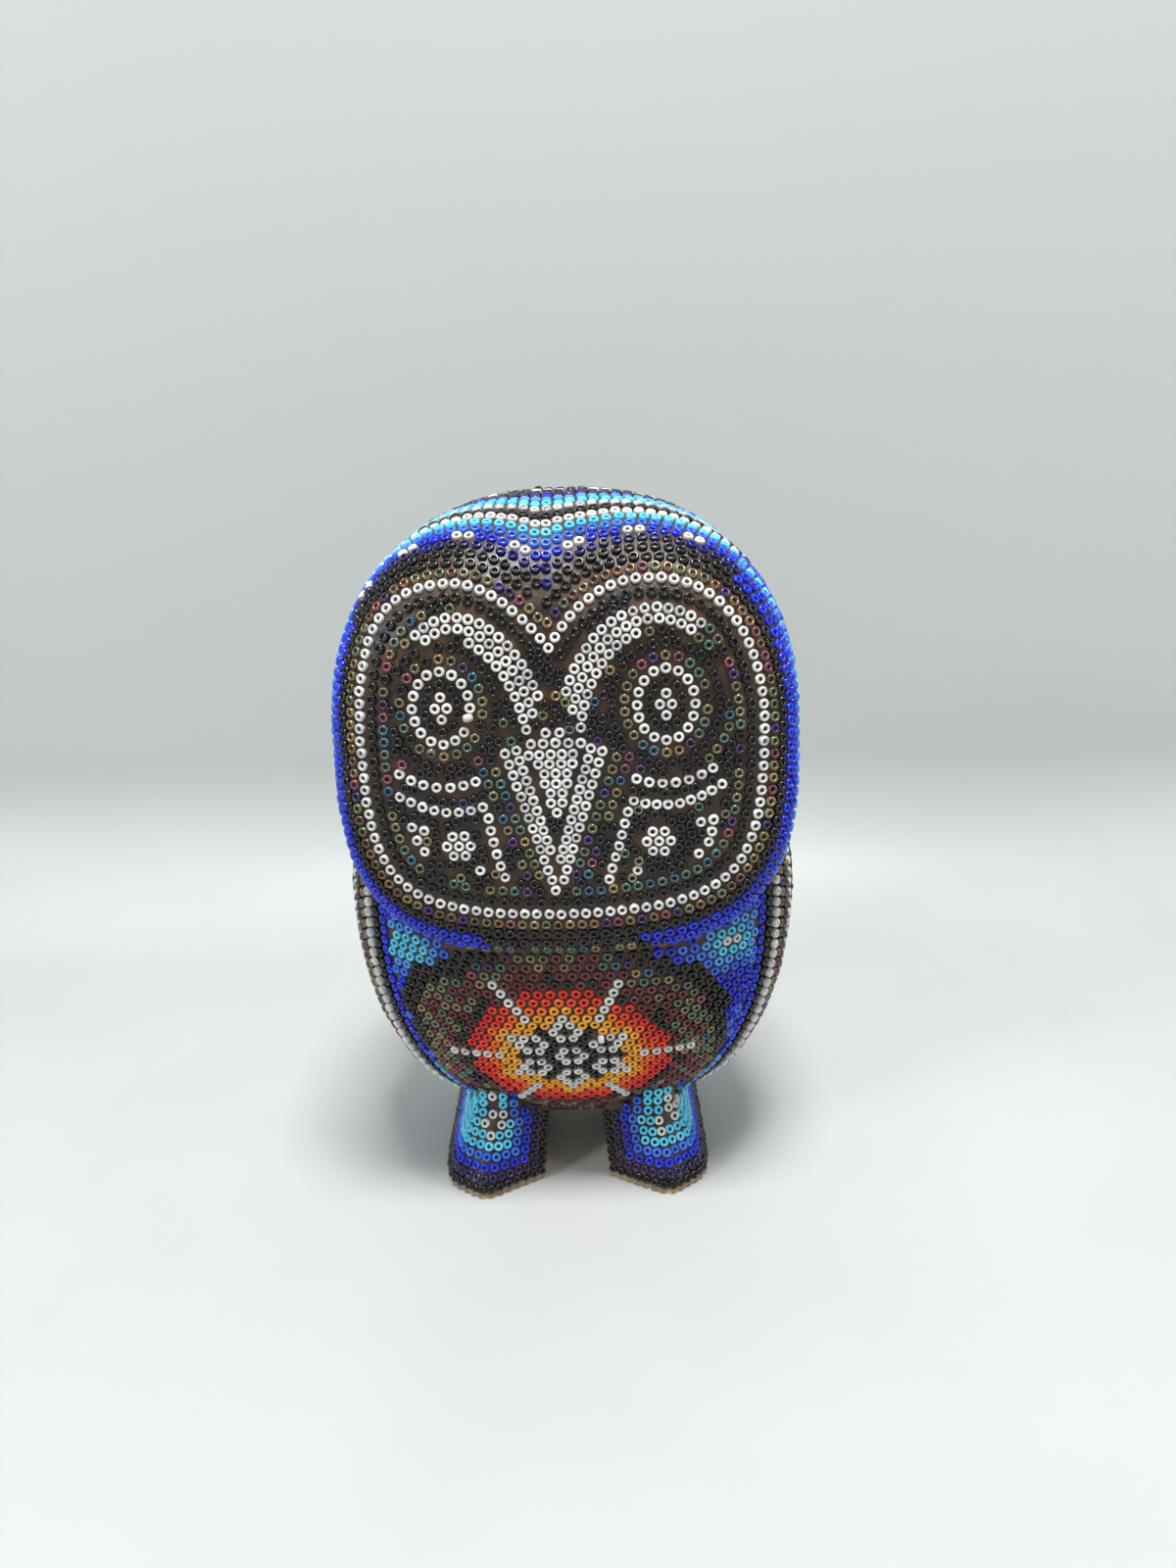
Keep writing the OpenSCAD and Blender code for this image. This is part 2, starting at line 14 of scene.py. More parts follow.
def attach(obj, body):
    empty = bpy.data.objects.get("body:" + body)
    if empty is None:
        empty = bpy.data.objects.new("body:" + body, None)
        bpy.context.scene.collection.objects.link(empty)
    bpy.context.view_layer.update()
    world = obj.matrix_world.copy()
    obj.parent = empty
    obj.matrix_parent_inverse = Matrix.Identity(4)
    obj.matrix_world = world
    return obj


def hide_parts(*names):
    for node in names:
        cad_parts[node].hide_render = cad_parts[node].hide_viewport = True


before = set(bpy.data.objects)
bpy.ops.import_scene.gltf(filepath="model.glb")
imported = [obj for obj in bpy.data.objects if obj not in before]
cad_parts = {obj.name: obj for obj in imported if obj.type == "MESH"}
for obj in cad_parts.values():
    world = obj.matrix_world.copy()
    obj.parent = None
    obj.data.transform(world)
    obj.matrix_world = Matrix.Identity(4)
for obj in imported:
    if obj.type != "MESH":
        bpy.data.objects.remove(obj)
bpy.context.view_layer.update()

MM = 0.001
RNG = np.random.default_rng(7)

# ---- The carving, as in the CAD part

HEAD_Z = 103.0
HEAD_HALF_W = 46.7
CROWN_RISE = 47.5
CHIN_DROP = 43.5
FACE_DEPTH = 40.0
NAPE_DEPTH = 40.0
CROWN_POWER = 2.4
CHIN_POWER = 2.9
BROW_FLAT = 2.5
SIDE_FLAT = 6.0
CHIN_FLAT = 10.0
NAPE_POWER = 2.3
HEAD_MIDDLE = np.array([0.0, 0.0, HEAD_Z])

TORSO_Z = 65.8
TORSO_HALF_W = 48.0
TORSO_HALF_D = 37.0
TORSO_DROP = 58.5
TORSO_RISE = 32.0
PLAN_POWER = 2.5
FLANK_POWER = 2.3
BELLY_POWER = 2.0

GAP_HALF = 8.0
GAP_LEAN = 1.6
FOOT_OUT = 31.0
TOE_REACH = 32.5
HEEL_REACH = 20.0
LEG_X = -0.8
WAIST_Z = 17.0
RIDGE_X = 20.8
RIDGE_LEAN = 3.5
OUTER_LEAN = 7.5
FRONT_SET = 8.2
FRONT_RAKE = 4.0
TOE_RAKE = 9.5
HEEL_RAKE = 5.0
HEEL_CUT = np.array([5.0, 3.0])

# ---- The beads

PITCH = 2.38          # from one bead to the next in a row
ROW = 2.38            # from one row of the head to the next
COLUMN = 2.2          # from one column of the torso's sides to the next
CLOSEST = 1.86        # beads are never nearer than this, middle to middle
PATTERN_X = -1.2      # the pattern was laid a little to the side of the carving's middle
V_LINE = PATTERN_X - 1.4   # the rows over the crown meet in a V on this plane
WAX_OFF = -0.75       # the wax stands this far below the bead tops
TIPPED = 0.006        # share of beads that stand askew


# ---- The skin of the carving: a gauge is 1 on it and less inside


def head_gauge(p):
    x, y, z = p[..., 0], p[..., 1], p[..., 2] - HEAD_Z
    up = z / np.maximum(np.hypot(x, z), 1e-9)
    power = np.where(z > 0, CROWN_POWER, CHIN_POWER)
    rise = np.where(z > 0, CROWN_RISE, CHIN_DROP)
    outline = ((np.abs(x) / HEAD_HALF_W) ** power + (np.abs(z) / rise) ** power) ** (1 / power)
    to_crown = SIDE_FLAT - (SIDE_FLAT - BROW_FLAT) * np.clip(up, 0, 1) ** 2.3
    to_chin = SIDE_FLAT + (CHIN_FLAT - SIDE_FLAT) * np.clip(-up, 0, 1)
    flat = np.where(y < 0, np.where(up > 0, to_crown, to_chin), NAPE_POWER)
    depth = np.where(y < 0, FACE_DEPTH, NAPE_DEPTH)
    return (outline**flat + (np.abs(y) / depth) ** flat) ** (1 / flat)


def torso_half(z):
    level = np.abs(z - TORSO_Z) / np.where(z > TORSO_Z, TORSO_RISE, TORSO_DROP)
    level = np.minimum(level, 0.9999)
    half_w = TORSO_HALF_W * (1 - level**FLANK_POWER) ** (1 / FLANK_POWER)
    half_d = TORSO_HALF_D * (1 - level**BELLY_POWER) ** (1 / BELLY_POWER)
    return half_w, half_d


def torso_gauge(p):
    half_w, half_d = torso_half(p[..., 2])
    across = (np.abs(p[..., 0]) / half_w) ** PLAN_POWER
    along = (np.abs(p[..., 1]) / half_d) ** PLAN_POWER
    beyond = (p[..., 2] > TORSO_Z + TORSO_RISE) | (p[..., 2] < TORSO_Z - TORSO_DROP)
    return np.where(beyond, 10.0, (across + along) ** (1 / PLAN_POWER))


def normals(p, gauge, reach=0.02):
    steps = np.eye(3) * reach
    slope = np.stack([gauge(p + s) - gauge(p - s) for s in steps], axis=-1)
    return slope / np.linalg.norm(slope, axis=-1, keepdims=True)


def to_head(p):
    out = p - HEAD_MIDDLE
    return HEAD_MIDDLE + out / head_gauge(p)[..., None]


def on_face(xz):
    """Points of the face straight behind the pattern's (x, z) points."""
    xz = np.atleast_2d(np.asarray(xz, float))
    low = np.full(len(xz), -FACE_DEPTH - 1.0)
    high = np.full(len(xz), -5.0)
    for _ in range(22):
        mid = (low + high) / 2
        inside = head_gauge(np.column_stack([xz[:, 0] + PATTERN_X, mid, xz[:, 1]])) < 1
        high = np.where(inside, mid, high)
        low = np.where(inside, low, mid)
    return np.column_stack([xz[:, 0] + PATTERN_X, high, xz[:, 1]])


# ---- Curves


def bezier(points, t):
    p = np.asarray(points, float)
    t = np.atleast_1d(t)[:, None]
    return p[0] * (1 - t) ** 3 + 3 * p[1] * (1 - t) ** 2 * t + 3 * p[2] * (1 - t) * t**2 + p[3] * t**3


def chain(pieces, per_piece=60):
    t = np.linspace(0, 1, per_piece)
    return np.vstack([bezier(piece, t) for piece in pieces])


def ellipse(middle, radii, start=0.0, end=360.0, steps=120):
    a = np.radians(np.linspace(start, end, steps))
    return np.column_stack([middle[0] + radii[0] * np.sin(a), middle[1] + radii[1] * np.cos(a)])


def beside(curve, shift):
    """The plane curve moved to its left by shift."""
    d = np.gradient(curve, axis=0)
    d /= np.linalg.norm(d, axis=1, keepdims=True)
    return curve + shift * np.column_stack([-d[:, 1], d[:, 0]])


def mirror(curve):
    return np.asarray(curve, float) * [-1, 1]


def arc_length(path):
    return np.concatenate([[0], np.cumsum(np.linalg.norm(np.diff(path, axis=0), axis=1))])


def spaced(path, pitch=PITCH, closed=False, phase=0.0):
    """Points along the path, pitch apart or as near to it as fits a whole number."""
    s = arc_length(path)
    count = max(1, round(s[-1] / pitch))
    at = (np.arange(count) + phase) * s[-1] / count if closed else np.linspace(0, s[-1], count + 1)
    return np.column_stack([np.interp(at, s, path[:, k]) for k in range(path.shape[1])])


# ---- The mosaic: every bead that has been laid so far


class Mosaic:
    def __init__(self, room=14000):
        self.at = np.zeros((room, 3))
        self.out = np.zeros((room, 3))
        self.glass = []
        self.piece = []

    def __len__(self):
        return len(self.glass)

    def lay(self, points, gauge, glass, piece, clear=CLOSEST, lift=0.0):
        """Lays beads at points of the skin, leaving out any that would sit on a bead already there."""
        points = np.atleast_2d(points)
        if not len(points):
            return
        outward = normals(points, gauge)
        self.place(points + lift * outward, outward, glass, piece, clear)

    def place(self, points, outward, glass, piece, clear=CLOSEST):
        for i in range(len(points)):
            n = len(self.glass)
            if n and np.min(np.sum((self.at[:n] - points[i]) ** 2, axis=1)) < clear**2:
                continue
            self.at[n] = points[i]
            self.out[n] = outward[i]
            self.glass.append(glass[i] if isinstance(glass, (list, np.ndarray)) else glass)
            self.piece.append(piece[i] if isinstance(piece, (list, np.ndarray)) else piece)


mosaic = Mosaic()


def lay_face(curve, glass, piece, pitch=PITCH, closed=False, clear=CLOSEST, phase=0.0):
    points = spaced(on_face(curve), pitch, closed, phase)
    if callable(glass):
        glass = [glass(i, p) for i, p in enumerate(points)]
    mosaic.lay(points, head_gauge, glass, piece, clear)


def mixed(*choices):
    """A function that picks one of the glasses for each bead."""
    return lambda i, p: choices[RNG.integers(len(choices))]


DARK_LUSTRE = ("green", "green", "olive", "olive", "gold", "sky_lustre", "black")
BROWN_LUSTRE = ("bronze", "bronze", "bronze", "gold", "olive")
RARE_LUSTRE = ("rose", "violet")
LUSTRE = mixed(*DARK_LUSTRE, *DARK_LUSTRE, *RARE_LUSTRE)
BRONZE = mixed(*BROWN_LUSTRE, *BROWN_LUSTRE, *RARE_LUSTRE)

# ---- The face

LOOP_RIGHT = [
    [(-1.3, 123.6), (3.6, 132.0), (9.5, 135.7), (18.0, 135.7)],
    [(18.0, 135.7), (31.0, 135.7), (38.7, 124.0), (38.7, 107.0)],
    [(38.7, 107.0), (38.7, 78.0), (33.0, 71.9), (-0.5, 71.5)],
]
LOOP_LEFT = [
    [(-1.3, 123.6), (-5.4, 128.8), (-11.5, 135.4), (-19.0, 135.6)],
    [(-19.0, 135.6), (-33.0, 135.6), (-37.5, 126.0), (-37.5, 105.0)],
    [(-37.5, 105.0), (-37.5, 78.0), (-32.0, 71.9), (-0.5, 71.5)],
]
EYE_RIGHT = (20.0, 112.8)
EYE_LEFT = (-21.5, 113.1)
EYE_RADII = np.array([5.4, 6.8])
ARC_REACH = 15.2      # from the middle of an eye to the arc under it
BROW_RIGHT = [(26.6, 127.4), (19.5, 133.6), (6.5, 131.0), (1.6, 115.6)]
BROW_LEFT = [(-25.6, 126.6), (-19.0, 133.2), (-8.6, 129.0), (-3.6, 115.0)]
BEAK_MIDDLE = -1.1
# Under each eye: a line across, a line down from it, a flower with a lone bead, and a short hook
CHEEKS = {
    "right": (
        [(30.4, 97.1), (24.0, 92.8), (18.5, 92.8), (13.8, 94.4)],
        [(12.6, 92.2), (11.6, 88.0), (10.4, 84.0), (8.8, 78.6)],
        (18.4, 86.1),
        (14.3, 80.3),
        [(28.9, 90.1), (26.4, 89.7), (28.6, 87.8), (28.0, 85.7), (26.1, 83.4)],
    ),
    "left": (
        [(-30.4, 96.2), (-24.0, 92.4), (-18.5, 92.4), (-14.8, 93.9)],
        [(-13.8, 91.6), (-13.5, 88.0), (-12.7, 84.0), (-11.2, 79.6)],
        (-19.7, 86.2),
        (-16.0, 81.2),
        [(-28.5, 90.2), (-26.2, 89.4), (-27.7, 87.5), (-26.4, 85.3)],
    ),
}


def lay_loop():
    right = chain(LOOP_RIGHT)
    left = chain(LOOP_LEFT)
    whole = np.vstack([right, left[::-1][1:]])
    lay_face(whole, "white", "face_loop_white", closed=True)


def lay_brow(curve, side):
    """Two strands of white over the eye, with a third where the brow runs down to the beak."""
    piece = "brow_right" if side > 0 else "brow_left"
    whites = mixed("white", "white", "silver")
    for strand, start, end in ((0, 0.0, 1.0), (1, 0.03, 1.06), (2, 0.5, 1.12)):
        path = beside(bezier(curve, np.linspace(start, end, 80)), side * 1.98 * strand)
        lay_face(path, whites, piece, pitch=2.15, clear=1.8)


def lay_eye(middle, side):
    name = "right" if side > 0 else "left"
    diamond = [(0, 2.1), (0, -2.1), (1.15, 0), (-1.15, 0)]
    mosaic.lay(on_face(np.array(middle) + diamond), head_gauge, "white", f"eye_centre_{name}", 1.7)
    lay_face(ellipse(middle, EYE_RADII), "white", f"eye_ring_{name}", 2.35, closed=True)
    lay_face(ellipse(middle, EYE_RADII - 2.3), "black", "face_field", 2.3, closed=True)


def lay_eye_surround(middle, side):
    """Rings outside the white one. They stop at the brow and at the arc under the eye."""
    outer = side * 90
    rings = ((2.35, LUSTRE, 0, 360), (4.7, "black", 0, 360), (7.0, LUSTRE, outer - 125, outer + 125))
    for extra, glass, start, end in rings:
        ring = ellipse(middle, EYE_RADII + [extra, extra], start, end)
        lay_face(ring, glass, "face_field", closed=end - start == 360)


def lay_eye_arc(middle, side):
    arc = ellipse(middle, (ARC_REACH, ARC_REACH), 180 + side * 22, 180 - side * 35)
    lay_face(arc, "white", "eye_arc_right" if side > 0 else "eye_arc_left")


def lay_cheek(side):
    name = "right" if side > 0 else "left"
    across, down, flower, lone, hook = CHEEKS[name]
    t = np.linspace(0, 1, 40)
    lay_face(bezier(across, t), "white", f"cheek_line_{name}", 2.25)
    lay_face(bezier(down, t), "white", f"cheek_line_{name}", 2.25)
    petals = ellipse(flower, (2.3, 2.3), 30, 390, 7)[:6]
    mosaic.lay(on_face([*petals, flower, lone]), head_gauge, "white", f"cheek_flower_{name}", 1.8)
    mosaic.lay(on_face(hook), head_gauge, "white", f"cheek_hook_{name}", 1.8)


def lay_beak():
    whites = mixed("white", "white", "silver")
    for side, edge in ((-1, -10.1), (1, 8.0)):
        tip = BEAK_MIDDLE + side * 0.5
        for strand in (0, 1):
            start = (edge - side * 2.1 * strand, 104.2 + 0.6 * strand)
            end = (tip - side * 0.4 * strand, 76.6 + 4.4 * strand)
            lay_face(np.linspace(start, end, 40), whites, "beak_outline", 2.15, clear=1.8)
    peak = [(BEAK_MIDDLE - 1.3, 108.0), (BEAK_MIDDLE + 1.3, 108.0)]
    mosaic.lay(on_face(peak), head_gauge, "white", "beak_outline", 1.8)
    for reach, z in ((9.3, 105.6), (7.2, 103.5)):
        top = bezier([(-reach, z), (-0.4 * reach, z + 0.5), (0.4 * reach, z + 0.5), (reach, z)], np.linspace(0, 1, 30))
        lay_face(top + [BEAK_MIDDLE + 0.5, 0], whites, "beak_outline", 2.2, clear=1.8)
    for row in range(8):
        count = 1 + (row + 1) // 2
        xs = BEAK_MIDDLE + 0.3 + (np.arange(count) - (count - 1) / 2) * 2.12
        points = np.column_stack([xs, np.full(count, 92.4 + row * 1.92)])
        mosaic.lay(on_face(points), head_gauge, "white", "beak_wedge", 1.8)


def lay_beak_sides():
    for side, edge in ((-1, -10.1), (1, 8.0)):
        for beyond in (2.3, 4.6):
            start = (edge + side * (beyond + 0.4), 103.0)
            end = (BEAK_MIDDLE + side * (beyond + 0.5), 77.5)
            lay_face(np.linspace(start, end, 40), LUSTRE, "face_field")


# ---- Rows beside a row, on the head


def row_beside(path, step, side):
    """The row next to a half-row, on one side of the V. It ends on the V's plane and at the torso."""
    tangent = np.gradient(path, axis=0)
    tangent /= np.linalg.norm(tangent, axis=1, keepdims=True)
    outward = normals(path, head_gauge)
    moved = to_head(path + step * side * np.cross(outward, tangent))
    keep = (side * (moved[:, 0] - V_LINE) > 0) & (torso_gauge(moved) > 1.015)
    if keep.sum() < 4:
        return None
    first, last = np.flatnonzero(keep)[[0, -1]]
    inner = moved[first : last + 1]
    ends = []
    for end in (inner[0], inner[-1]):
        near_v = abs(end[0] - V_LINE) < 2.5
        ends.append(to_head(np.array([[V_LINE, end[1], end[2]]])) if near_v else end[None])
    whole = np.vstack([ends[0], inner, ends[1]])
    s = arc_length(whole)
    at = np.linspace(0, s[-1], 240)
    smooth = np.column_stack([np.interp(at, s, whole[:, k]) for k in range(3)])
    for _ in range(2):
        smooth[1:-1] = (smooth[:-2] + 2 * smooth[1:-1] + smooth[2:]) / 4
    return to_head(smooth)


def turn_of(p):
    """Angle of a head point from the top, seen from the front."""
    return np.degrees(np.arctan2(np.abs(p[0] - V_LINE), p[2] - HEAD_Z))


CROWN_ROWS = (
    "bronze_mix", "black", "black_v", "night_mix", "blue_pairs", "mid_blue", "turquoise", "white", "black",
    "silver", "turquoise", "light_blue", "violet_mix", "night_mix", "black", "white_pairs", "bronze_mix",
    "black", "night_mix", "blue", "mid_blue", "turquoise", "mid_blue", "blue", "night_mix", "black", "white",
    "black", "red", "orange", "amber", "orange", "red", "black", "white", "black", "turquoise", "light_blue",
    "mid_blue", "blue", "night_mix", "black", "white", "black", "red", "orange", "amber",
)
SIDE_ROWS = (
    "bronze_mix", "black", "blue", "blue", "mid_blue", "blue_spots", "mid_blue", "blue", "night_mix",
    "black", "white", "black", "night_mix", "blue", "mid_blue", "turquoise", "mid_blue", "blue",
    "night_mix", "black", "bronze_mix", "white", "black",
)
HEAD_BANDS = (
    (1, "face_rim_bronze"), (2, "face_rim_black"), (4, "crown_navy"), (6, "crown_blue"), (8, "crown_turquoise"),
    (10, "crown_stripe"), (17, "crown_rear_blue"), (25, "nape_bronze"), (99, "nape_rosette"),
)
CROWN_TURN = {1: 47.0, -1: 55.0}   # the crown's stripes end at these angles from the top
FIRST_WHITE_PAIR = 2  # beads from the V to the first white pair


def row_glass(rule, index):
    if rule == "bronze_mix":
        return BRONZE(0, None)
    if rule == "night_mix":
        return mixed("navy", "navy", "purple")(0, None)
    if rule == "violet_mix":
        return mixed("purple", "blue", "violet")(0, None)
    if rule == "blue_pairs":
        return "white" if index >= FIRST_WHITE_PAIR and (index - FIRST_WHITE_PAIR) % 5 < 2 else "blue"
    if rule == "white_pairs":
        return "white" if index % 4 < 2 else "black"
    if rule == "blue_spots":
        return "turquoise" if index % 9 < 4 else "light_blue"
    if rule == "black_v":
        return "navy" if index == 0 else "black"
    return rule


def chin_glass(number, p):
    """The chest's pattern runs on under the chin: dark in the middle, blue to the sides."""
    reach = abs(p[0] - PATTERN_X)
    if reach < 14 and number == 4:
        return LUSTRE(0, p)
    if reach < 15.5:
        return "black"
    return "blue"


def lay_head_rows():
    for side, loop in ((1, LOOP_RIGHT), (-1, LOOP_LEFT)):
        path = on_face(chain(loop))
        number = 0
        while True:
            path = row_beside(path, ROW, side)
            at_nape = path is None or (path[0][1] > 0 and path[0][2] < path[-1][2] + 2 * ROW)
            if at_nape:
                break
            number += 1
            points = spaced(path, PITCH * RNG.uniform(0.97, 1.03))
            piece = next(name for last, name in HEAD_BANDS if number <= last)
            glass = []
            for i, p in enumerate(points):
                rules = CROWN_ROWS if turn_of(p) < CROWN_TURN[side] or p[1] > 12 else SIDE_ROWS
                rule = rules[min(number, len(rules)) - 1]
                glass.append(row_glass(rule, i))
            pieces = [piece] * len(points)
            if 3 <= number <= 7:
                under = [p[2] < 76 and p[1] < 0 for p in points]
                pieces = ["chin_underside" if u else piece for u in under]
                glass = [chin_glass(number, p) if u else g for u, g, p in zip(under, glass, points)]
            mosaic.lay(points, head_gauge, glass, pieces)


def lay_rows_inside():
    """Two rows that follow the white loop inside it: black, then lustre."""
    loop = np.vstack([chain(LOOP_RIGHT), chain(LOOP_LEFT)[::-1][1:]])
    for shift, glass in ((2.4, "black"), (4.8, LUSTRE)):
        lay_face(beside(loop, -shift), glass, "face_field", closed=True)


def fill_gaps(candidates, gauge, glass, piece, clear=1.92, most=1500):
    """Packs beads into what is still free, each one as tight against two others as it goes."""
    candidates = np.asarray(candidates)
    laid = mosaic.at[: len(mosaic)]
    near = np.full(len(candidates), 99.0)
    second = np.full(len(candidates), 99.0)
    reach = 6.0
    for bead in laid:
        close = np.abs(candidates - bead).max(axis=1) < reach
        d = np.linalg.norm(candidates[close] - bead, axis=1)
        second[close] = np.minimum(second[close], np.maximum(near[close], d))
        near[close] = np.minimum(near[close], d)
    for _ in range(most):
        free = near >= clear
        if not free.any():
            break
        score = np.where(free, near + second, 1e9)
        best = int(np.argmin(score))
        bead = candidates[best]
        mosaic.lay(bead[None], gauge, glass(0, bead), piece(bead) if callable(piece) else piece, clear=0.5)
        d = np.linalg.norm(candidates - bead, axis=1)
        second = np.minimum(second, np.maximum(near, d))
        near = np.minimum(near, d)


def fill_face():
    """Black beads, with some lustre among them, over what is left of the face."""
    xs, zs = np.meshgrid(np.arange(-37, 38, 0.32), np.arange(72, 136, 0.32))
    grid = np.column_stack([xs.ravel(), zs.ravel()])
    loop = np.vstack([chain(LOOP_RIGHT), chain(LOOP_LEFT)[::-1][1:]])
    grid = grid[inside_outline(grid, loop)]

    def glass(_, p):
        beside_beak = abs(p[0] - V_LINE) < 9 and p[2] > 112
        share = 0.5 if beside_beak else 0.12
        return LUSTRE(0, p) if RNG.random() < share else "black"

    fill_gaps(on_face(grid), head_gauge, glass, "face_field", clear=1.9)


def fill_seams():
    """Dark beads wherever the rows of two neighbouring areas leave room, on the head and then the torso."""
    turn, tip = np.meshgrid(np.radians(np.arange(0, 360, 1.0)), np.radians(np.arange(20, 180, 1.0)))
    d = np.column_stack([np.sin(tip.ravel()) * np.sin(turn.ravel()), np.cos(tip.ravel()),
                         np.sin(tip.ravel()) * np.cos(turn.ravel())])
    skin = to_head(HEAD_MIDDLE + 40.0 * d * [1, -1, 1])
    free = (skin[:, 1] > -36) & (torso_gauge(skin) > 1.0) & (np.abs(skin[:, 2] - 70) < 30)
    fill_gaps(skin[free], head_gauge, lambda i, p: BRONZE(0, p), "nape_bronze")
    rows = []
    for z in np.arange(21, 84, 0.8):
        total = section(z)[1][-1]
        rows.append(along_section(z, np.arange(-total, total, 0.8)))
    skin = np.vstack(rows)
    free = (head_gauge(skin) > 1.0) & ~in_legs(skin)

    def glass(_, p):
        return "black" if p[1] > 0 else "blue"

    def piece(p):
        return "back_field" if p[1] > 0 else "chest_field"

    fill_gaps(skin[free], torso_gauge, glass, piece)


def inside_outline(points, outline):
    x, y = points[:, 0][:, None], points[:, 1][:, None]
    x0, y0 = outline[:, 0], outline[:, 1]
    x1, y1 = np.roll(x0, -1), np.roll(y0, -1)
    rise = np.where(y1 == y0, 1e-12, y1 - y0)
    crossing = ((y0 > y) != (y1 > y)) & (x < x0 + (y - y0) / rise * (x1 - x0))
    return crossing.sum(axis=1) % 2 == 1


# ---- The torso: a lattice over the chest, columns down the sides and over the wings, a lattice behind

STAR_Z = 35.5
LATTICE = 2.58        # from bead to bead in the flower's rows
LATTICE_LEAN = -0.28  # how far each row above the flower's middle moves sideways
WING_FRONT = 0.9      # the wing's front edge, as a share of the torso's half width
WING_LIFT = 1.2
BACK_COLUMN = 15      # the columns from this one on belong to the back
WING_COLUMNS = (
    "black", "white", "bronze_mix", "black", "bronze_mix", "white", "black", "night_mix", "blue", "mid_blue",
    "turquoise", "mid_blue", "blue", "night_mix", "black", "bronze_mix", "white", "bronze_mix", "black",
    "night_mix",
)


def section(z):
    """Half of the torso's outline at height z, from the front to the back, with its running length."""
    a = np.linspace(0, math.pi, 241)
    half_w, half_d = torso_half(z)
    x = half_w * np.sin(a) ** (2 / PLAN_POWER)
    y = -half_d * np.sign(np.cos(a)) * np.abs(np.cos(a)) ** (2 / PLAN_POWER)
    path = np.column_stack([x, y, np.full_like(x, z)])
    return path, arc_length(path)


def along_section(z, lengths):
    """Points of the torso at height z, at running lengths from its front middle. Negative is to -X."""
    path, s = section(z)
    lengths = np.asarray(lengths, float)
    points = np.column_stack([np.interp(np.abs(lengths), s, path[:, k]) for k in range(3)])
    points[:, 0] *= np.sign(lengths)
    return points


def edge_length(z):
    path, s = section(z)
    half = np.argmax(path[:, 0] >= WING_FRONT * torso_half(z)[0])
    return s[half] - 1.9 * COLUMN


def meridian(z):
    half_d = torso_half(z)[1]
    return np.column_stack([z, half_d])


def row_heights(spacing_below, spacing_above, turn_row, lowest=9.0, highest=74.0):
    """Heights of the flower's rows: number from its middle row, and z."""
    z = np.linspace(lowest, highest, 900)
    s = arc_length(meridian(z))
    middle = np.interp(STAR_Z, z, s)
    rows = []
    for j in range(-30, 40):
        s_j = middle + j * spacing_below
        if j > turn_row:
            s_j = middle + turn_row * spacing_below + (j - turn_row) * spacing_above
        if 0 < s_j < s[-1]:
            rows.append((j, float(np.interp(s_j, s, z))))
    return rows


def hex_distance(ax, aj, bx, bj):
    """Steps between cells of a lattice with rows j and places x (half steps apart in every second row)."""
    dj = np.abs(aj - bj)
    dx = np.abs(ax - bx)
    return np.maximum(dj, dx + dj / 2)


def star_cells():
    """Cells of the star: a black hexagon with seven white rings on it, and six white tips."""
    rings = [(0, 0), (3, 2), (3, -2), (-3, 2), (-3, -2), (0, 4), (0, -4)]
    tips = [(0, 6), (0, -6), (4.5, 3), (4.5, -3), (-4.5, 3), (-4.5, -3)]
    cells = {}
    for j in range(-6, 7):
        for k in range(-12, 13):
            x = k + (0.5 if j % 2 else 0)
            if hex_distance(x, j, 0, 0) <= 4:
                cells[(x, j)] = "black"
    for x, j in rings:
        for dx, dj in ((1, 0), (-1, 0), (0.5, 1), (-0.5, 1), (0.5, -1), (-0.5, -1)):
            cells[(x + dx, j + dj)] = "white"
        cells[(x, j)] = "black"
    for tip in tips:
        cells[tip] = "white"
    return cells


STAR = star_cells()
STAR_X = np.array([c[0] for c in STAR])
STAR_J = np.array([c[1] for c in STAR])


def ray_at(x, j):
    """White rays run out along the lattice's axes, five beads each."""
    steps = int(hex_distance(x, j, 0, 0))
    on_axis = j == 0 or abs(abs(x) - abs(j) / 2) < 0.01
    return on_axis and 6 <= steps <= 10


def layer_of(x, j):
    """How many rows outside the star a cell lies. The layers have six lobes, soft ones round the red."""
    across = math.hypot(x, 0.866 * j)
    lobes = math.cos(6 * (math.atan2(0.866 * j, x) - math.pi / 2))
    depth = np.interp(across, (6, 8, 15), (0.5, 0.0, 1.0))
    return max(1, math.floor((across - 4.7 - depth * lobes) / 0.85 + 0.5))


def chest_bead(x, j, p):
    """Glass and piece of the chest's bead in lattice cell (x, j)."""
    if (x, j) in STAR:
        return STAR[(x, j)], "chest_star"
    if ray_at(x, j):
        return "white", "chest_rays"
    layer = layer_of(x, j)
    if layer <= 2:
        return ("amber", "orange")[layer - 1], "chest_amber"
    if layer <= 4:
        return ("scarlet" if layer == 3 else "red"), "chest_red"
    if layer == 5:
        return mixed("black", "maroon", "maroon")(0, p), "chest_petals"
    if layer <= 8:
        return mixed("maroon", "maroon", "maroon", "maroon_pink", "gold", "green", "olive")(0, p), "chest_petals"
    if layer == 9:
        return LUSTRE(0, p), "chest_field"
    if layer <= 11:
        return "black", "chest_field"
    return ground_bead(p)


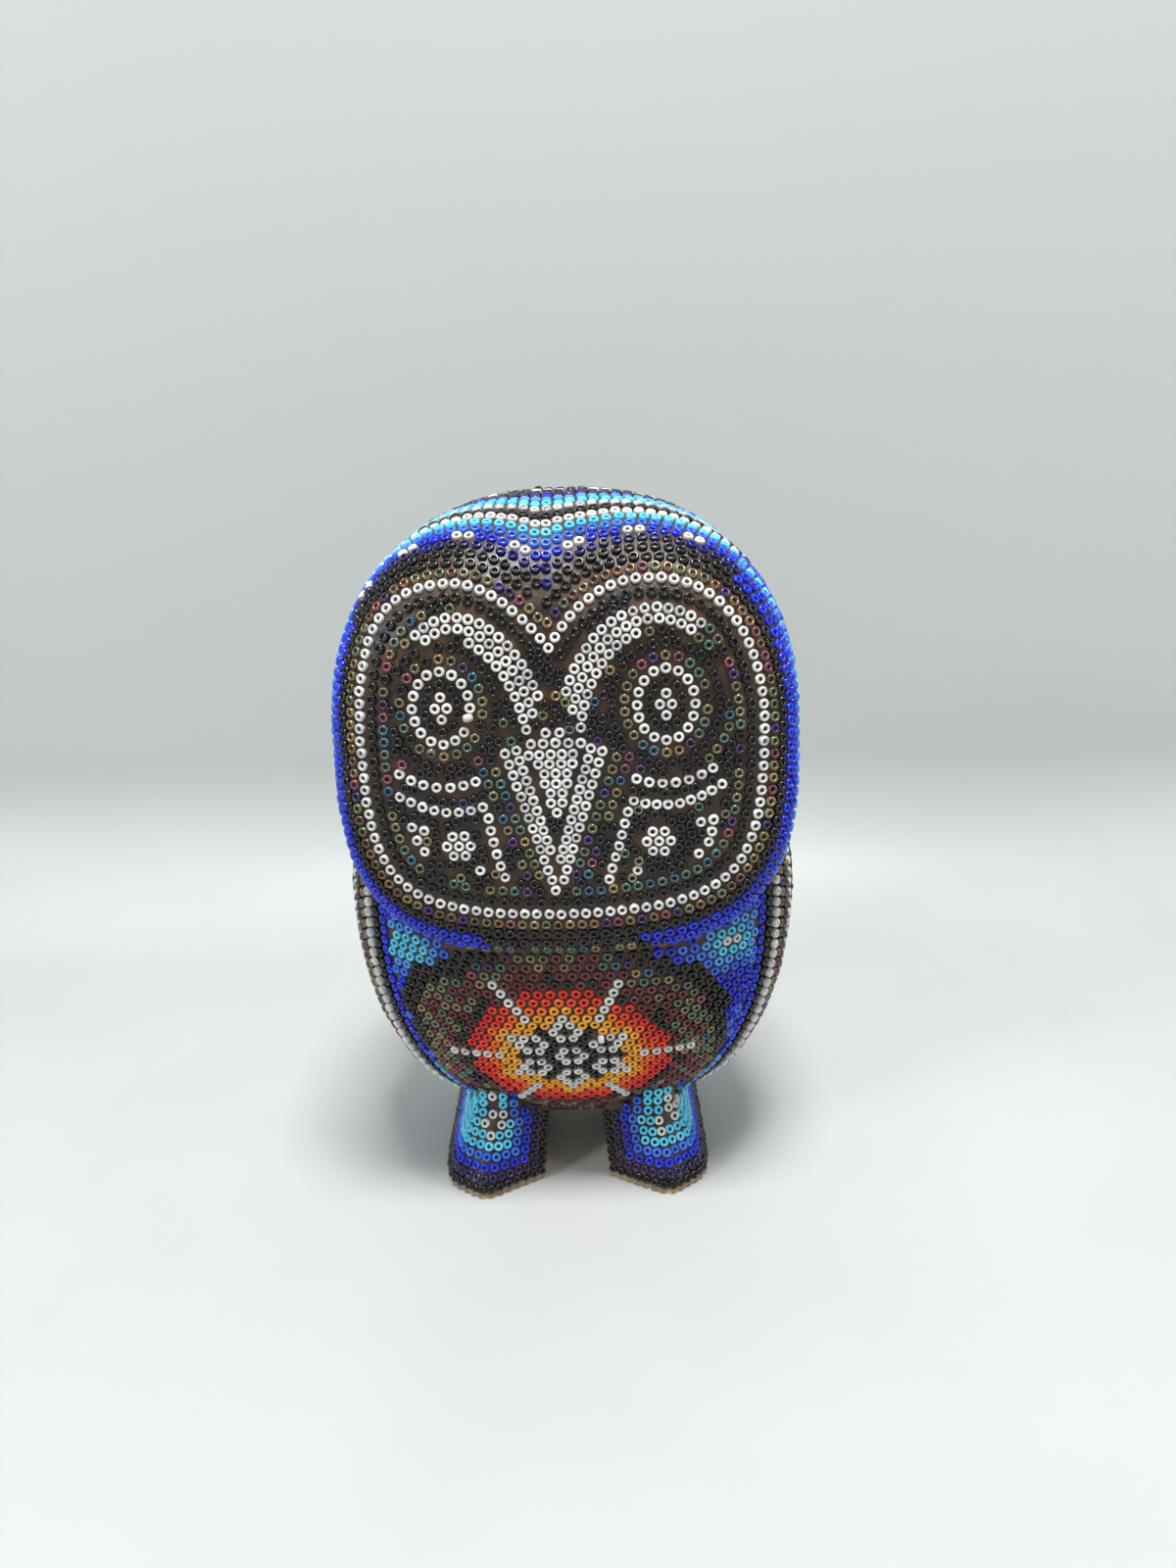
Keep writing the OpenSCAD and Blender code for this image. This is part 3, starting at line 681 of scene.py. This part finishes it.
def ground_bead(p):
    """Blue beads round the flower, with a turquoise patch in the middle of each upper corner."""
    side = 1 if p[0] > 0 else -1
    name = "chest_corner_right" if side > 0 else "chest_corner_left"
    across = (abs(p[0] - PATTERN_X) - 34.0) / 1.3
    up = p[2] - 61.0
    off = math.hypot(across, up)
    if p[2] > 45:
        if off < 1.5 and side > 0:
            return "white", name
        for limit, glass in ((3.6, "turquoise"), (5.6, "light_blue"), (8.6, "mid_blue")):
            if off < limit:
                return glass, name
        return "blue", "chest_field"
    if p[2] < 27:
        return mixed("light_blue", "turquoise", "mid_blue")(0, p), "chest_field"
    return mixed("blue", "blue", "mid_blue")(0, p), "chest_field"


def lay_torso_row(z, cells):
    """The beads of one row of the chest that lie outside the head, between the wings."""
    limit = edge_length(z) - 1.5 * COLUMN
    lean = LATTICE_LEAN * max(cells[0][1], 0)
    xs = np.array([x for x, _ in cells]) * LATTICE + PATTERN_X + 0.2 + lean
    points = along_section(z, xs)
    keep = (np.abs(xs) < limit) & (head_gauge(points) > 1.012) & ~in_legs(points)
    for (x, j), p, kept in zip(cells, points, keep):
        if kept:
            glass, piece = chest_bead(x, j, p)
            mosaic.lay(p[None], torso_gauge, glass, piece)


def lay_chest():
    for j, z in row_heights(1.83, 2.12, 6):
        cells = [(k + (0.5 if j % 2 else 0), j) for k in range(-20, 21)]
        lay_torso_row(z, cells)


def lay_wings():
    heights = np.linspace(9.5, 76, 300)
    edges = np.array([edge_length(z) for z in heights])
    totals = np.array([section(z)[1][-1] for z in heights])
    for side in (1, -1):
        name = "right" if side > 0 else "left"
        for k in range(-2, len(WING_COLUMNS)):
            lengths = edges + (k + 0.4) * COLUMN
            points = np.vstack([along_section(z, [side * s]) for z, s in zip(heights, lengths)])
            keep = (lengths < totals - 1) & (head_gauge(points) > 1.03) & ~in_legs(points)
            points = points[keep]
            if len(points) < 3:
                continue
            rule = ("mid_blue", "blue")[k + 2] if k < 0 else WING_COLUMNS[k]
            piece = f"chest_corner_{name}" if k < 0 else f"wing_{name}"
            if k == 1:
                piece = f"wing_stripe_{name}"
            if k >= BACK_COLUMN:
                piece = "back_field"
            beads = spaced(points, PITCH)
            glass = [row_glass(rule, i) for i in range(len(beads))]
            if k < 0:
                glass = ["light_blue" if bead[2] < 29 else g for bead, g in zip(beads, glass)]
            height = WING_LIFT if 0 < k < 12 else WING_LIFT / 3
            rises = np.clip((beads[:, 2] - 14) / 10, 0, 1) if 0 <= k < 12 else np.zeros(len(beads))
            lift = (height * rises)[:, None]
            mosaic.lay(beads, torso_gauge, glass, piece, lift=lift)


def back_bead(x, j):
    """The back carries a rosette in the chest's colours."""
    steps = hex_distance(x, j, 0, 0)
    bands = ((1, "white"), (2, "black"), (3, "amber"), (4, "orange"), (5, "red"), (6, "black"), (7, "gold"))
    for limit, glass in bands:
        if steps < limit:
            return glass, "back_rosette"
    return ("navy" if steps < 9 else "blue"), "back_field"


def lay_back():
    for j, z in row_heights(2.05, 2.05, 40):
        total = section(z)[1][-1]
        room = total - edge_length(z) - (len(WING_COLUMNS) + 0.4) * COLUMN
        places = np.array([k + (0.5 if j % 2 else 0) for k in range(-20, 21)])
        places = places[np.abs(places) * PITCH < room]
        if not len(places):
            continue
        points = along_section(z, total - np.abs(places) * PITCH)
        points[:, 0] *= np.where(places < 0, -1, 1)
        keep = (head_gauge(points) > 1.03) & ~in_legs(points)
        for x, p in zip(places[keep], points[keep]):
            glass, piece = back_bead(x, j - 6)
            mosaic.lay(p[None], torso_gauge, glass, piece)


# ---- Legs


def belly_z(x, y):
    """Height of the torso's underside over (x, y)."""
    low = np.full(np.shape(x), TORSO_Z - TORSO_DROP)
    high = np.full(np.shape(x), TORSO_Z)
    for _ in range(16):
        mid = (low + high) / 2
        outside = torso_gauge(np.stack([x, y, mid], axis=-1)) > 1
        low = np.where(outside, mid, low)
        high = np.where(outside, high, mid)
    return low


def leg_outline(z, grow=0.0):
    """Corners of a leg at height z, from the inner front one round to the inner rear one."""
    t = min(z / WAIST_Z, 1.0)
    inner = GAP_HALF - GAP_LEAN * t
    outer = FOOT_OUT - OUTER_LEAN * t + grow
    front = TOE_REACH - FRONT_SET - FRONT_RAKE * t + grow
    ridge = TOE_REACH - TOE_RAKE * t + 1.3 * grow
    heel = HEEL_REACH - HEEL_RAKE * t + grow
    return np.array(
        [
            (inner, -front),
            (RIDGE_X - RIDGE_LEAN * t, -ridge),
            (outer, -front),
            (outer, heel - HEEL_CUT[1]),
            (outer - HEEL_CUT[0], heel),
            (inner, heel),
        ]
    )


def in_legs(points):
    """Which points of the torso's skin lie inside the top of a leg."""
    outline = leg_outline(WAIST_Z, grow=0.3)
    low = points[:, 2] < 30
    found = np.zeros(len(points), bool)
    for side in (1, -1):
        found |= low & inside_outline((points[:, :2] - [LEG_X, 0]) * [side, 1], outline)
    return found


def leg_path(z, side, off=0.0):
    """One level of a leg's beaded faces, from the inner front edge to the heel, with softened corners."""
    path = leg_outline(z, off)
    for _ in range(2):
        quarter = path[:-1] * 0.85 + path[1:] * 0.15
        three = path[:-1] * 0.15 + path[1:] * 0.85
        path = np.vstack([path[:1], np.stack([quarter, three], axis=1).reshape(-1, 2), path[-1:]])
    return np.column_stack([side * path[:, 0] + LEG_X, path[:, 1], np.full(len(path), z)])


FOOT_ROWS = 11
FOOT_FIRST = 2.3      # height of the lowest row of beads; bare wood shows below it
FOOT_ROW = 2.03
FOOT_BANDS = ("black", "purple", "blue", "mid_blue", "turquoise")


def foot_figure(side, row, from_ridge):
    """What the white figure on a foot's ridge puts here: a white bead, bare wax, or nothing of its own."""
    if side < 0:
        flower = {5: (0.0,), 6: (-1.0, 1.0), 7: (-0.5,), 9: (0.0,), 10: (0.0,)}
        whites = flower.get(row, ())
        wax = (row, from_ridge) in ((6, 0), (8, 0))
    else:
        lean = 0.45 * (row - 5)
        whites = (lean, lean + 1.6)[: 1 if row < 6 else 2] if row >= 5 else ()
        wax = row >= 6 and lean + 0.5 < from_ridge < lean + 1.1
    if any(abs(from_ridge - place) <= 0.5 for place in whites):
        return "white"
    return "wax" if wax else None


def lay_feet():
    for side in (1, -1):
        name = "right" if side > 0 else "left"
        for row in range(FOOT_ROWS):
            z = FOOT_FIRST + row * FOOT_ROW
            path = leg_path(z, side)
            along = arc_length(path)
            ridge = along[np.argmin(path[:, 1])]
            count = round(ridge / 2.25)
            places = np.arange(40) * ridge / count
            places = places[places <= along[-1]]
            beads = np.column_stack([np.interp(places, along, path[:, k]) for k in range(3)])
            rise = leg_path(z + 0.5, side) - leg_path(z - 0.5, side)
            rise = np.column_stack([np.interp(places, along, rise[:, k]) for k in range(3)])
            outward = side * np.cross(np.gradient(beads, axis=0), rise)
            outward /= np.linalg.norm(outward, axis=1, keepdims=True)
            under = z < belly_z(beads[:, 0], beads[:, 1]) - 0.3
            for i in np.flatnonzero(under):
                figure = foot_figure(side, row, i - count - 1)
                if figure == "wax":
                    continue
                piece = f"foot_motif_{name}" if figure else f"foot_beads_{name}"
                glass = figure or FOOT_BANDS[min(row, i, len(FOOT_BANDS) - 1)]
                mosaic.place(beads[i][None], outward[i][None], glass, piece, clear=1.75)


# ---- Making the meshes

SEGMENTS = 12
RIM = ((0.45, -0.6), (0.48, -0.2), (0.74, 0.0), (0.96, -0.18), (1.06, -0.62), (0.98, -1.2))
PLUG_DEPTH = -0.55

# Each glass: the record's slot, base colours of its shades, metallic, roughness
GLASSES = {
    "black": ("bead_black", ((0.006, 0.005, 0.006), (0.012, 0.009, 0.009)), 0.0, 0.1),
    "white": ("bead_white", ((0.70, 0.69, 0.66), (0.60, 0.595, 0.575)), 0.0, 0.1),
    "silver": ("bead_white", ((0.66, 0.65, 0.62), (0.50, 0.50, 0.49)), 0.4, 0.15),
    "bronze": ("bead_bronze", ((0.22, 0.13, 0.075), (0.14, 0.085, 0.055)), 0.55, 0.18),
    "gold": ("bead_bronze", ((0.27, 0.20, 0.105), (0.19, 0.15, 0.08)), 0.55, 0.18),
    "olive": ("bead_lustre", ((0.19, 0.185, 0.10), (0.13, 0.14, 0.085)), 0.55, 0.18),
    "green": ("bead_lustre", ((0.09, 0.15, 0.115), (0.11, 0.165, 0.14)), 0.55, 0.18),
    "sky_lustre": ("bead_lustre", ((0.07, 0.14, 0.21), (0.05, 0.10, 0.15)), 0.55, 0.18),
    "violet": ("bead_lustre", ((0.09, 0.05, 0.17), (0.07, 0.045, 0.11)), 0.55, 0.18),
    "rose": ("bead_lustre", ((0.25, 0.085, 0.115), (0.17, 0.065, 0.085)), 0.55, 0.18),
    "navy": ("bead_navy", ((0.006, 0.008, 0.11), (0.008, 0.012, 0.17)), 0.0, 0.1),
    "purple": ("bead_navy", ((0.014, 0.008, 0.045), (0.022, 0.012, 0.07)), 0.0, 0.1),
    "blue": ("bead_blue", ((0.008, 0.02, 0.48), (0.010, 0.03, 0.60)), 0.0, 0.1),
    "mid_blue": ("bead_blue", ((0.03, 0.12, 0.66), (0.045, 0.17, 0.72)), 0.0, 0.12),
    "light_blue": ("bead_turquoise", ((0.07, 0.28, 0.72), (0.09, 0.34, 0.76)), 0.0, 0.14),
    "turquoise": ("bead_turquoise", ((0.09, 0.55, 0.78), (0.13, 0.62, 0.84)), 0.0, 0.1),
    "red": ("bead_red", ((0.58, 0.015, 0.010), (0.64, 0.02, 0.012)), 0.0, 0.1),
    "scarlet": ("bead_red", ((0.74, 0.045, 0.014), (0.70, 0.035, 0.012)), 0.0, 0.1),
    "orange": ("bead_amber", ((0.80, 0.12, 0.01), (0.82, 0.15, 0.012)), 0.0, 0.12),
    "amber": ("bead_amber", ((0.80, 0.34, 0.02), (0.82, 0.38, 0.03)), 0.0, 0.12),
    "maroon": ("bead_maroon", ((0.11, 0.025, 0.032), (0.14, 0.035, 0.042)), 0.3, 0.14),
    "maroon_pink": ("bead_maroon", ((0.20, 0.07, 0.08), (0.16, 0.055, 0.06)), 0.4, 0.16),
}


def node_material(name):
    material = bpy.data.materials.new(name)
    material.use_nodes = True
    tree = material.node_tree
    return material, tree, tree.nodes["Principled BSDF"]


def add_noise(tree, scale, detail=3.0):
    place = tree.nodes.new("ShaderNodeTexCoord")
    noise = tree.nodes.new("ShaderNodeTexNoise")
    noise.inputs["Scale"].default_value = scale
    noise.inputs["Detail"].default_value = detail
    tree.links.new(place.outputs["Object"], noise.inputs["Vector"])
    return noise


def spread(tree, source, low, high):
    """Maps a noise's middle range onto low to high."""
    ranged = tree.nodes.new("ShaderNodeMapRange")
    ranged.inputs["From Min"].default_value = 0.3
    ranged.inputs["From Max"].default_value = 0.7
    ranged.inputs["To Min"].default_value = low
    ranged.inputs["To Max"].default_value = high
    tree.links.new(source.outputs["Fac"], ranged.inputs["Value"])
    return ranged.outputs["Result"]


def add_bump(tree, shader, source, strength, distance):
    bump = tree.nodes.new("ShaderNodeBump")
    bump.inputs["Strength"].default_value = strength
    bump.inputs["Distance"].default_value = distance
    tree.links.new(source.outputs["Fac"], bump.inputs["Height"])
    tree.links.new(bump.outputs["Normal"], shader.inputs["Normal"])


def glass_material(name, shade, colour, metallic, roughness):
    """Glass of one shade. Its gloss and its slightly uneven surface come from noise."""
    material, tree, shader = node_material(f"{name}_{shade}")
    shader.inputs["Base Color"].default_value = (*colour, 1)
    shader.inputs["Metallic"].default_value = metallic
    shader.inputs["IOR"].default_value = 1.52
    shader.inputs["Specular IOR Level"].default_value = 0.5
    gloss = add_noise(tree, 700)
    tree.links.new(spread(tree, gloss, roughness * 0.5, roughness * 1.5), shader.inputs["Roughness"])
    add_bump(tree, shader, add_noise(tree, 450, 1.0), 0.15, 0.0001)
    return material


def two_tone_material(name, dark, light, scale, rough, bump_scale, bump):
    """A surface whose colour runs between two tones with noise."""
    material, tree, shader = node_material(name)
    tone = add_noise(tree, scale, 5.0)
    ramp = tree.nodes.new("ShaderNodeValToRGB")
    ramp.color_ramp.elements[0].position = 0.35
    ramp.color_ramp.elements[1].position = 0.68
    ramp.color_ramp.elements[0].color = (*dark, 1)
    ramp.color_ramp.elements[1].color = (*light, 1)
    tree.links.new(tone.outputs["Fac"], ramp.inputs["Fac"])
    tree.links.new(ramp.outputs["Color"], shader.inputs["Base Color"])
    tree.links.new(spread(tree, tone, rough[0], rough[1]), shader.inputs["Roughness"])
    add_bump(tree, shader, add_noise(tree, bump_scale, 4.0), 0.6, bump)
    return material


def wood_material():
    """Pale carved wood: long stretched grain."""
    material, tree, shader = node_material("bare_wood")
    place = tree.nodes.new("ShaderNodeTexCoord")
    stretch = tree.nodes.new("ShaderNodeMapping")
    stretch.inputs["Scale"].default_value = (1.0, 1.0, 0.12)
    grain = tree.nodes.new("ShaderNodeTexNoise")
    grain.inputs["Scale"].default_value = 900
    grain.inputs["Detail"].default_value = 6
    tree.links.new(place.outputs["Object"], stretch.inputs["Vector"])
    tree.links.new(stretch.outputs["Vector"], grain.inputs["Vector"])
    ramp = tree.nodes.new("ShaderNodeValToRGB")
    ramp.color_ramp.elements[0].position = 0.3
    ramp.color_ramp.elements[1].position = 0.72
    ramp.color_ramp.elements[0].color = (0.30, 0.17, 0.08, 1)
    ramp.color_ramp.elements[1].color = (0.62, 0.43, 0.24, 1)
    tree.links.new(grain.outputs["Fac"], ramp.inputs["Fac"])
    tree.links.new(ramp.outputs["Color"], shader.inputs["Base Color"])
    tree.links.new(spread(tree, grain, 0.55, 0.8), shader.inputs["Roughness"])
    add_bump(tree, shader, grain, 0.5, 0.0003)
    return material


def make_glasses():
    made = {}
    for name, (_, shades, metallic, roughness) in GLASSES.items():
        made[name] = [glass_material(name, i, c, metallic, roughness) for i, c in enumerate(shades)]
    return made


def ring_template():
    """Points and faces of one bead: a rounded ring, and the wax that stands in its hole, which is coloured darker than
    the wax between the beads as painted shade in the hole.
    """
    turn = np.arange(SEGMENTS) * 2 * math.pi / SEGMENTS
    points = [np.column_stack([r * np.cos(turn), r * np.sin(turn), np.full(SEGMENTS, h)]) for r, h in RIM]
    r_plug = RIM[0][0] + 0.01
    plug = np.column_stack([r_plug * np.cos(turn), r_plug * np.sin(turn), np.full(SEGMENTS, PLUG_DEPTH)])
    points = np.vstack(points + [plug])
    quads = []
    for k in range(len(RIM) - 1):
        for i in range(SEGMENTS):
            j = (i + 1) % SEGMENTS
            quads.append((k * SEGMENTS + i, (k + 1) * SEGMENTS + i, (k + 1) * SEGMENTS + j, k * SEGMENTS + j))
    return points, np.array(quads), np.arange(SEGMENTS) + len(RIM) * SEGMENTS


def bead_frames(outward):
    """Three axes for every bead, with the third along its hole. Each is tipped a little at random."""
    n = len(outward)
    tilt = RNG.normal(0, 0.06, (n, 3))
    tipped = RNG.random(n) < TIPPED
    tilt[tipped] = RNG.normal(0, 0.3, (tipped.sum(), 3))
    up = outward + tilt
    up /= np.linalg.norm(up, axis=1, keepdims=True)
    ahead = np.cross(up, RNG.normal(size=(n, 3)))
    ahead /= np.linalg.norm(ahead, axis=1, keepdims=True)
    return ahead, np.cross(up, ahead), up


def bead_piece(name, chosen, glasses, plug_material):
    """One object that holds the beads of one motif, every bead a ring of its own."""
    points, quads, plug = ring_template()
    n = len(chosen)
    axes = bead_frames(mosaic.out[chosen])
    width = RNG.uniform(0.955, 1.01, n)
    height = RNG.uniform(0.9, 1.06, n)
    sink = RNG.uniform(-0.12, 0.08, n)
    at = mosaic.at[chosen] + mosaic.out[chosen] * sink[:, None]
    verts = at[:, None, :].repeat(len(points), 1)
    for axis, k in zip(axes, range(3)):
        size = height if k == 2 else width
        verts += points[None, :, k, None] * axis[:, None, :] * size[:, None, None]
    verts = (verts * MM).reshape(-1, 3)
    shift = (np.arange(n) * len(points))[:, None, None]
    all_quads = (quads[None] + shift).reshape(-1, 4)
    all_plugs = (plug[None] + shift[:, 0]).reshape(-1, SEGMENTS)
    mesh = bpy.data.meshes.new(name)
    mesh.vertices.add(len(verts))
    mesh.vertices.foreach_set("co", verts.ravel())
    loops = np.concatenate([all_quads.ravel(), all_plugs.ravel()])
    mesh.loops.add(len(loops))
    mesh.loops.foreach_set("vertex_index", loops.astype(np.int32))
    starts = np.concatenate(
        [np.arange(len(all_quads)) * 4, len(all_quads) * 4 + np.arange(n) * SEGMENTS]
    )
    mesh.polygons.add(len(starts))
    mesh.polygons.foreach_set("loop_start", starts.astype(np.int32))
    materials = []
    index = np.zeros(n, int)
    for i, bead in enumerate(chosen):
        options = glasses[mosaic.glass[bead]]
        material = options[RNG.integers(len(options))]
        if material not in materials:
            materials.append(material)
        index[i] = materials.index(material)
    for material in materials:
        mesh.materials.append(material)
    # The hole's wax, whose near-black colour is painted shade.
    mesh.materials.append(plug_material)
    face_material = np.concatenate([index.repeat(len(quads)), np.full(n, len(materials))])
    mesh.update(calc_edges=True)
    mesh.polygons.foreach_set("material_index", face_material.astype(np.int32))
    mesh.polygons.foreach_set("use_smooth", np.ones(len(starts), bool))
    mesh.validate()
    obj = bpy.data.objects.new(f"{name}.beads", mesh)
    bpy.context.scene.collection.objects.link(obj)
    return obj


def grid_piece(name, points, material, closed):
    """A smooth surface through a grid of points. The first index runs round when closed."""
    rows, cols = points.shape[:2]
    faces = []
    for i in range(rows if closed else rows - 1):
        for j in range(cols - 1):
            a = (i % rows) * cols + j
            b = ((i + 1) % rows) * cols + j
            faces.append((a, a + 1, b + 1, b))
    mesh = bpy.data.meshes.new(name)
    mesh.from_pydata([tuple(p) for p in (points.reshape(-1, 3) * MM)], [], faces)
    mesh.polygons.foreach_set("use_smooth", np.ones(len(faces), bool))
    mesh.materials.append(material)
    obj = bpy.data.objects.new(name, mesh)
    bpy.context.scene.collection.objects.link(obj)
    return obj


def skin_grid(middle, gauge, around=96, up=64):
    """A closed shell on the carving, WAX_OFF from the bead tops."""
    turn = np.linspace(0, 2 * math.pi, around, endpoint=False)
    tip = np.linspace(0.001, math.pi - 0.001, up)
    t, g = np.meshgrid(turn, tip, indexing="ij")
    d = np.stack([np.sin(g) * np.sin(t), -np.sin(g) * np.cos(t), np.cos(g)], axis=-1)
    low = np.full(t.shape, 5.0)
    high = np.full(t.shape, 80.0)
    for _ in range(24):
        mid = (low + high) / 2
        inside = gauge(middle + d * mid[..., None]) < 1
        low = np.where(inside, mid, low)
        high = np.where(inside, high, mid)
    points = middle + d * low[..., None]
    return points + WAX_OFF * normals(points, gauge)


# ---- The whole figure


def lay_everything():
    lay_loop()
    for middle, side, brow in ((EYE_RIGHT, 1, BROW_RIGHT), (EYE_LEFT, -1, BROW_LEFT)):
        lay_brow(np.array(brow), side)
        lay_eye(middle, side)
        lay_eye_arc(middle, side)
        lay_cheek(side)
    lay_beak()
    lay_rows_inside()
    lay_beak_sides()
    for middle, side in ((EYE_RIGHT, 1), (EYE_LEFT, -1)):
        lay_eye_surround(middle, side)
    fill_face()
    lay_head_rows()
    lay_chest()
    lay_wings()
    lay_back()
    fill_seams()
    lay_feet()


def make_beads():
    glasses = make_glasses()
    # The wax in the bead holes: real wax, but coloured near black, far darker than the wax between the beads, as
    # painted shade in the holes.
    hole_wax_and_shade = two_tone_material("hole_wax_painted_shade", (0.004, 0.003, 0.002), (0.012, 0.008, 0.006), 300,
                                 (0.5, 0.7), 900, 0.0001)
    names = sorted(set(mosaic.piece))
    piece_of = np.array(mosaic.piece)
    for name in names:
        chosen = np.flatnonzero(piece_of == name)
        obj = bead_piece(name, chosen, glasses, hole_wax_and_shade)
        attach(obj, "root")
        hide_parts(name)
    print("beads laid:", len(mosaic), "pieces:", len(names))


def make_wax():
    wax = two_tone_material("wax", (0.008, 0.004, 0.002), (0.075, 0.032, 0.010), 160, (0.35, 0.6), 500, 0.0004)
    head = grid_piece("wax_head", skin_grid(HEAD_MIDDLE, head_gauge), wax, True)
    torso = grid_piece("wax_torso", skin_grid(np.array([0, 0, 60.0]), torso_gauge), wax, True)
    for obj, nodes in ((head, ("wax_face", "wax_crown")), (torso, ("wax_chest", "wax_back"))):
        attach(obj, "root")
        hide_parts(*nodes)
    for side, name in ((1, "right"), (-1, "left")):
        levels = np.linspace(FOOT_FIRST - 0.7, WAIST_Z + 6, 24)
        rows = np.stack([leg_path(z, side, WAX_OFF) for z in levels])
        under = belly_z(rows[..., 0], rows[..., 1])
        rows[..., 2] = np.minimum(rows[..., 2], under)
        foot = grid_piece(f"wax_foot_{name}", rows if side < 0 else rows[::-1], wax, False)
        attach(foot, "root")


def dress_wood():
    wood = wood_material()
    for name in ("body_core", "leg_left", "leg_right"):
        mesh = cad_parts[name].data
        mesh.materials.clear()
        mesh.materials.append(wood)


# ---- Studio


def backdrop():
    """A pale, slightly marked table top that meets a grey-green wall close behind the figure.

    The wall is see-through from its back, so that the figure's own back can be looked at.
    """
    material, tree, shader = node_material("backdrop")
    grime = add_noise(tree, 14, 8.0)
    ramp = tree.nodes.new("ShaderNodeValToRGB")
    ramp.color_ramp.elements[0].color = (0.44, 0.455, 0.445, 1)
    ramp.color_ramp.elements[1].color = (0.51, 0.53, 0.515, 1)
    tree.links.new(grime.outputs["Fac"], ramp.inputs["Fac"])
    place = tree.nodes.new("ShaderNodeNewGeometry")
    height = tree.nodes.new("ShaderNodeSeparateXYZ")
    tree.links.new(place.outputs["Position"], height.inputs["Vector"])
    rise = tree.nodes.new("ShaderNodeMapRange")
    rise.inputs["From Min"].default_value = 0.0
    rise.inputs["From Max"].default_value = 0.03
    tree.links.new(height.outputs["Z"], rise.inputs["Value"])
    wall = tree.nodes.new("ShaderNodeMix")
    wall.data_type = "RGBA"
    wall.inputs["B"].default_value = (0.43, 0.455, 0.44, 1)
    tree.links.new(rise.outputs["Result"], wall.inputs["Factor"])
    tree.links.new(ramp.outputs["Color"], wall.inputs["A"])
    tree.links.new(wall.outputs["Result"], shader.inputs["Base Color"])
    shader.inputs["Roughness"].default_value = 0.5
    see_through = tree.nodes.new("ShaderNodeBsdfTransparent")
    one_sided = tree.nodes.new("ShaderNodeMixShader")
    tree.links.new(place.outputs["Backfacing"], one_sided.inputs["Fac"])
    tree.links.new(shader.outputs["BSDF"], one_sided.inputs[1])
    tree.links.new(see_through.outputs["BSDF"], one_sided.inputs[2])
    tree.links.new(one_sided.outputs["Shader"], tree.nodes["Material Output"].inputs["Surface"])
    half, front, bend, radius, top = 1.6, -0.9, 0.10, 0.05, 1.6
    profile = [(front, 0.0), (bend, 0.0)]
    for a in np.radians(np.arange(6, 91, 6)):
        profile.append((bend + radius * math.sin(a), radius * (1 - math.cos(a))))
    profile.append((bend + radius, top))
    verts = [(x, y, z) for x in (-half, half) for y, z in profile]
    n = len(profile)
    faces = [(i, n + i, n + i + 1, i + 1) for i in range(n - 1)]
    mesh = bpy.data.meshes.new("backdrop")
    mesh.from_pydata(verts, [], faces)
    mesh.polygons.foreach_set("use_smooth", np.ones(len(faces), bool))
    mesh.materials.append(material)
    obj = bpy.data.objects.new("backdrop", mesh)
    bpy.context.scene.collection.objects.link(obj)
    return obj


def area_light(name, place, aim, size, watts, colour=(1, 1, 1)):
    light = bpy.data.lights.new(name, "AREA")
    light.shape = "RECTANGLE"
    light.size, light.size_y = size
    light.energy = watts
    light.color = colour
    obj = bpy.data.objects.new(name, light)
    obj.location = place
    obj.rotation_euler = (Vector(aim) - Vector(place)).to_track_quat("-Z", "Y").to_euler()
    bpy.context.scene.collection.objects.link(obj)
    return obj


def light_the_scene():
    world = bpy.data.worlds.new("studio")
    world.use_nodes = True
    world.node_tree.nodes["Background"].inputs["Color"].default_value = (0.86, 0.91, 0.93, 1)
    world.node_tree.nodes["Background"].inputs["Strength"].default_value = 0.4
    bpy.context.scene.world = world
    bpy.context.scene.view_settings.view_transform = "Standard"
    middle = (0, 0, 0.08)
    return [
        area_light("ceiling", (0.05, -0.25, 1.1), middle, (0.3, 0.2), 14.0),
        area_light("window", (-0.8, -0.6, 0.6), middle, (0.25, 0.4), 4.5, (0.95, 0.98, 1.0)),
        area_light("room", (0.9, -0.4, 0.5), middle, (0.25, 0.4), 2.5, (1.0, 0.98, 0.95)),
    ]


# ---- Camera: where the photographer held it

CAMERA_DISTANCE = 243.0
CAMERA_HEIGHT = 159.45
CAMERA_TURN = math.radians(1.0)
CAMERA_DOWN = math.radians(16.83)
CAMERA_YAW = math.radians(-0.93)
CAMERA_ROLL = math.radians(-1.6)
FOCAL_SHARE = 0.722   # focal length over the picture's height


def make_camera():
    data = bpy.data.cameras.new("camera")
    data.sensor_fit = "VERTICAL"
    data.sensor_height = 36.0
    data.lens = FOCAL_SHARE * data.sensor_height
    data.clip_start = 0.01
    data.clip_end = 20
    obj = bpy.data.objects.new("camera", data)
    turn, down = CAMERA_TURN, CAMERA_DOWN
    place = Vector((math.sin(turn), -math.cos(turn), 0)) * CAMERA_DISTANCE
    place.z = CAMERA_HEIGHT
    ahead = Vector((-math.sin(turn) * math.cos(down), math.cos(turn) * math.cos(down), -math.sin(down)))
    ahead = Matrix.Rotation(CAMERA_YAW, 3, "Z") @ ahead
    level = ahead.cross(Vector((0, 0, 1))).normalized()
    up = level.cross(ahead)
    right = level * math.cos(CAMERA_ROLL) + up * math.sin(CAMERA_ROLL)
    top = up * math.cos(CAMERA_ROLL) - level * math.sin(CAMERA_ROLL)
    axes = Matrix((right, top, -ahead)).transposed()
    obj.matrix_world = Matrix.Translation(place * MM) @ axes.to_4x4()
    bpy.context.scene.collection.objects.link(obj)
    bpy.context.scene.camera = obj


lay_everything()
make_beads()
make_wax()
dress_wood()
backdrop()
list(light_the_scene())
make_camera()
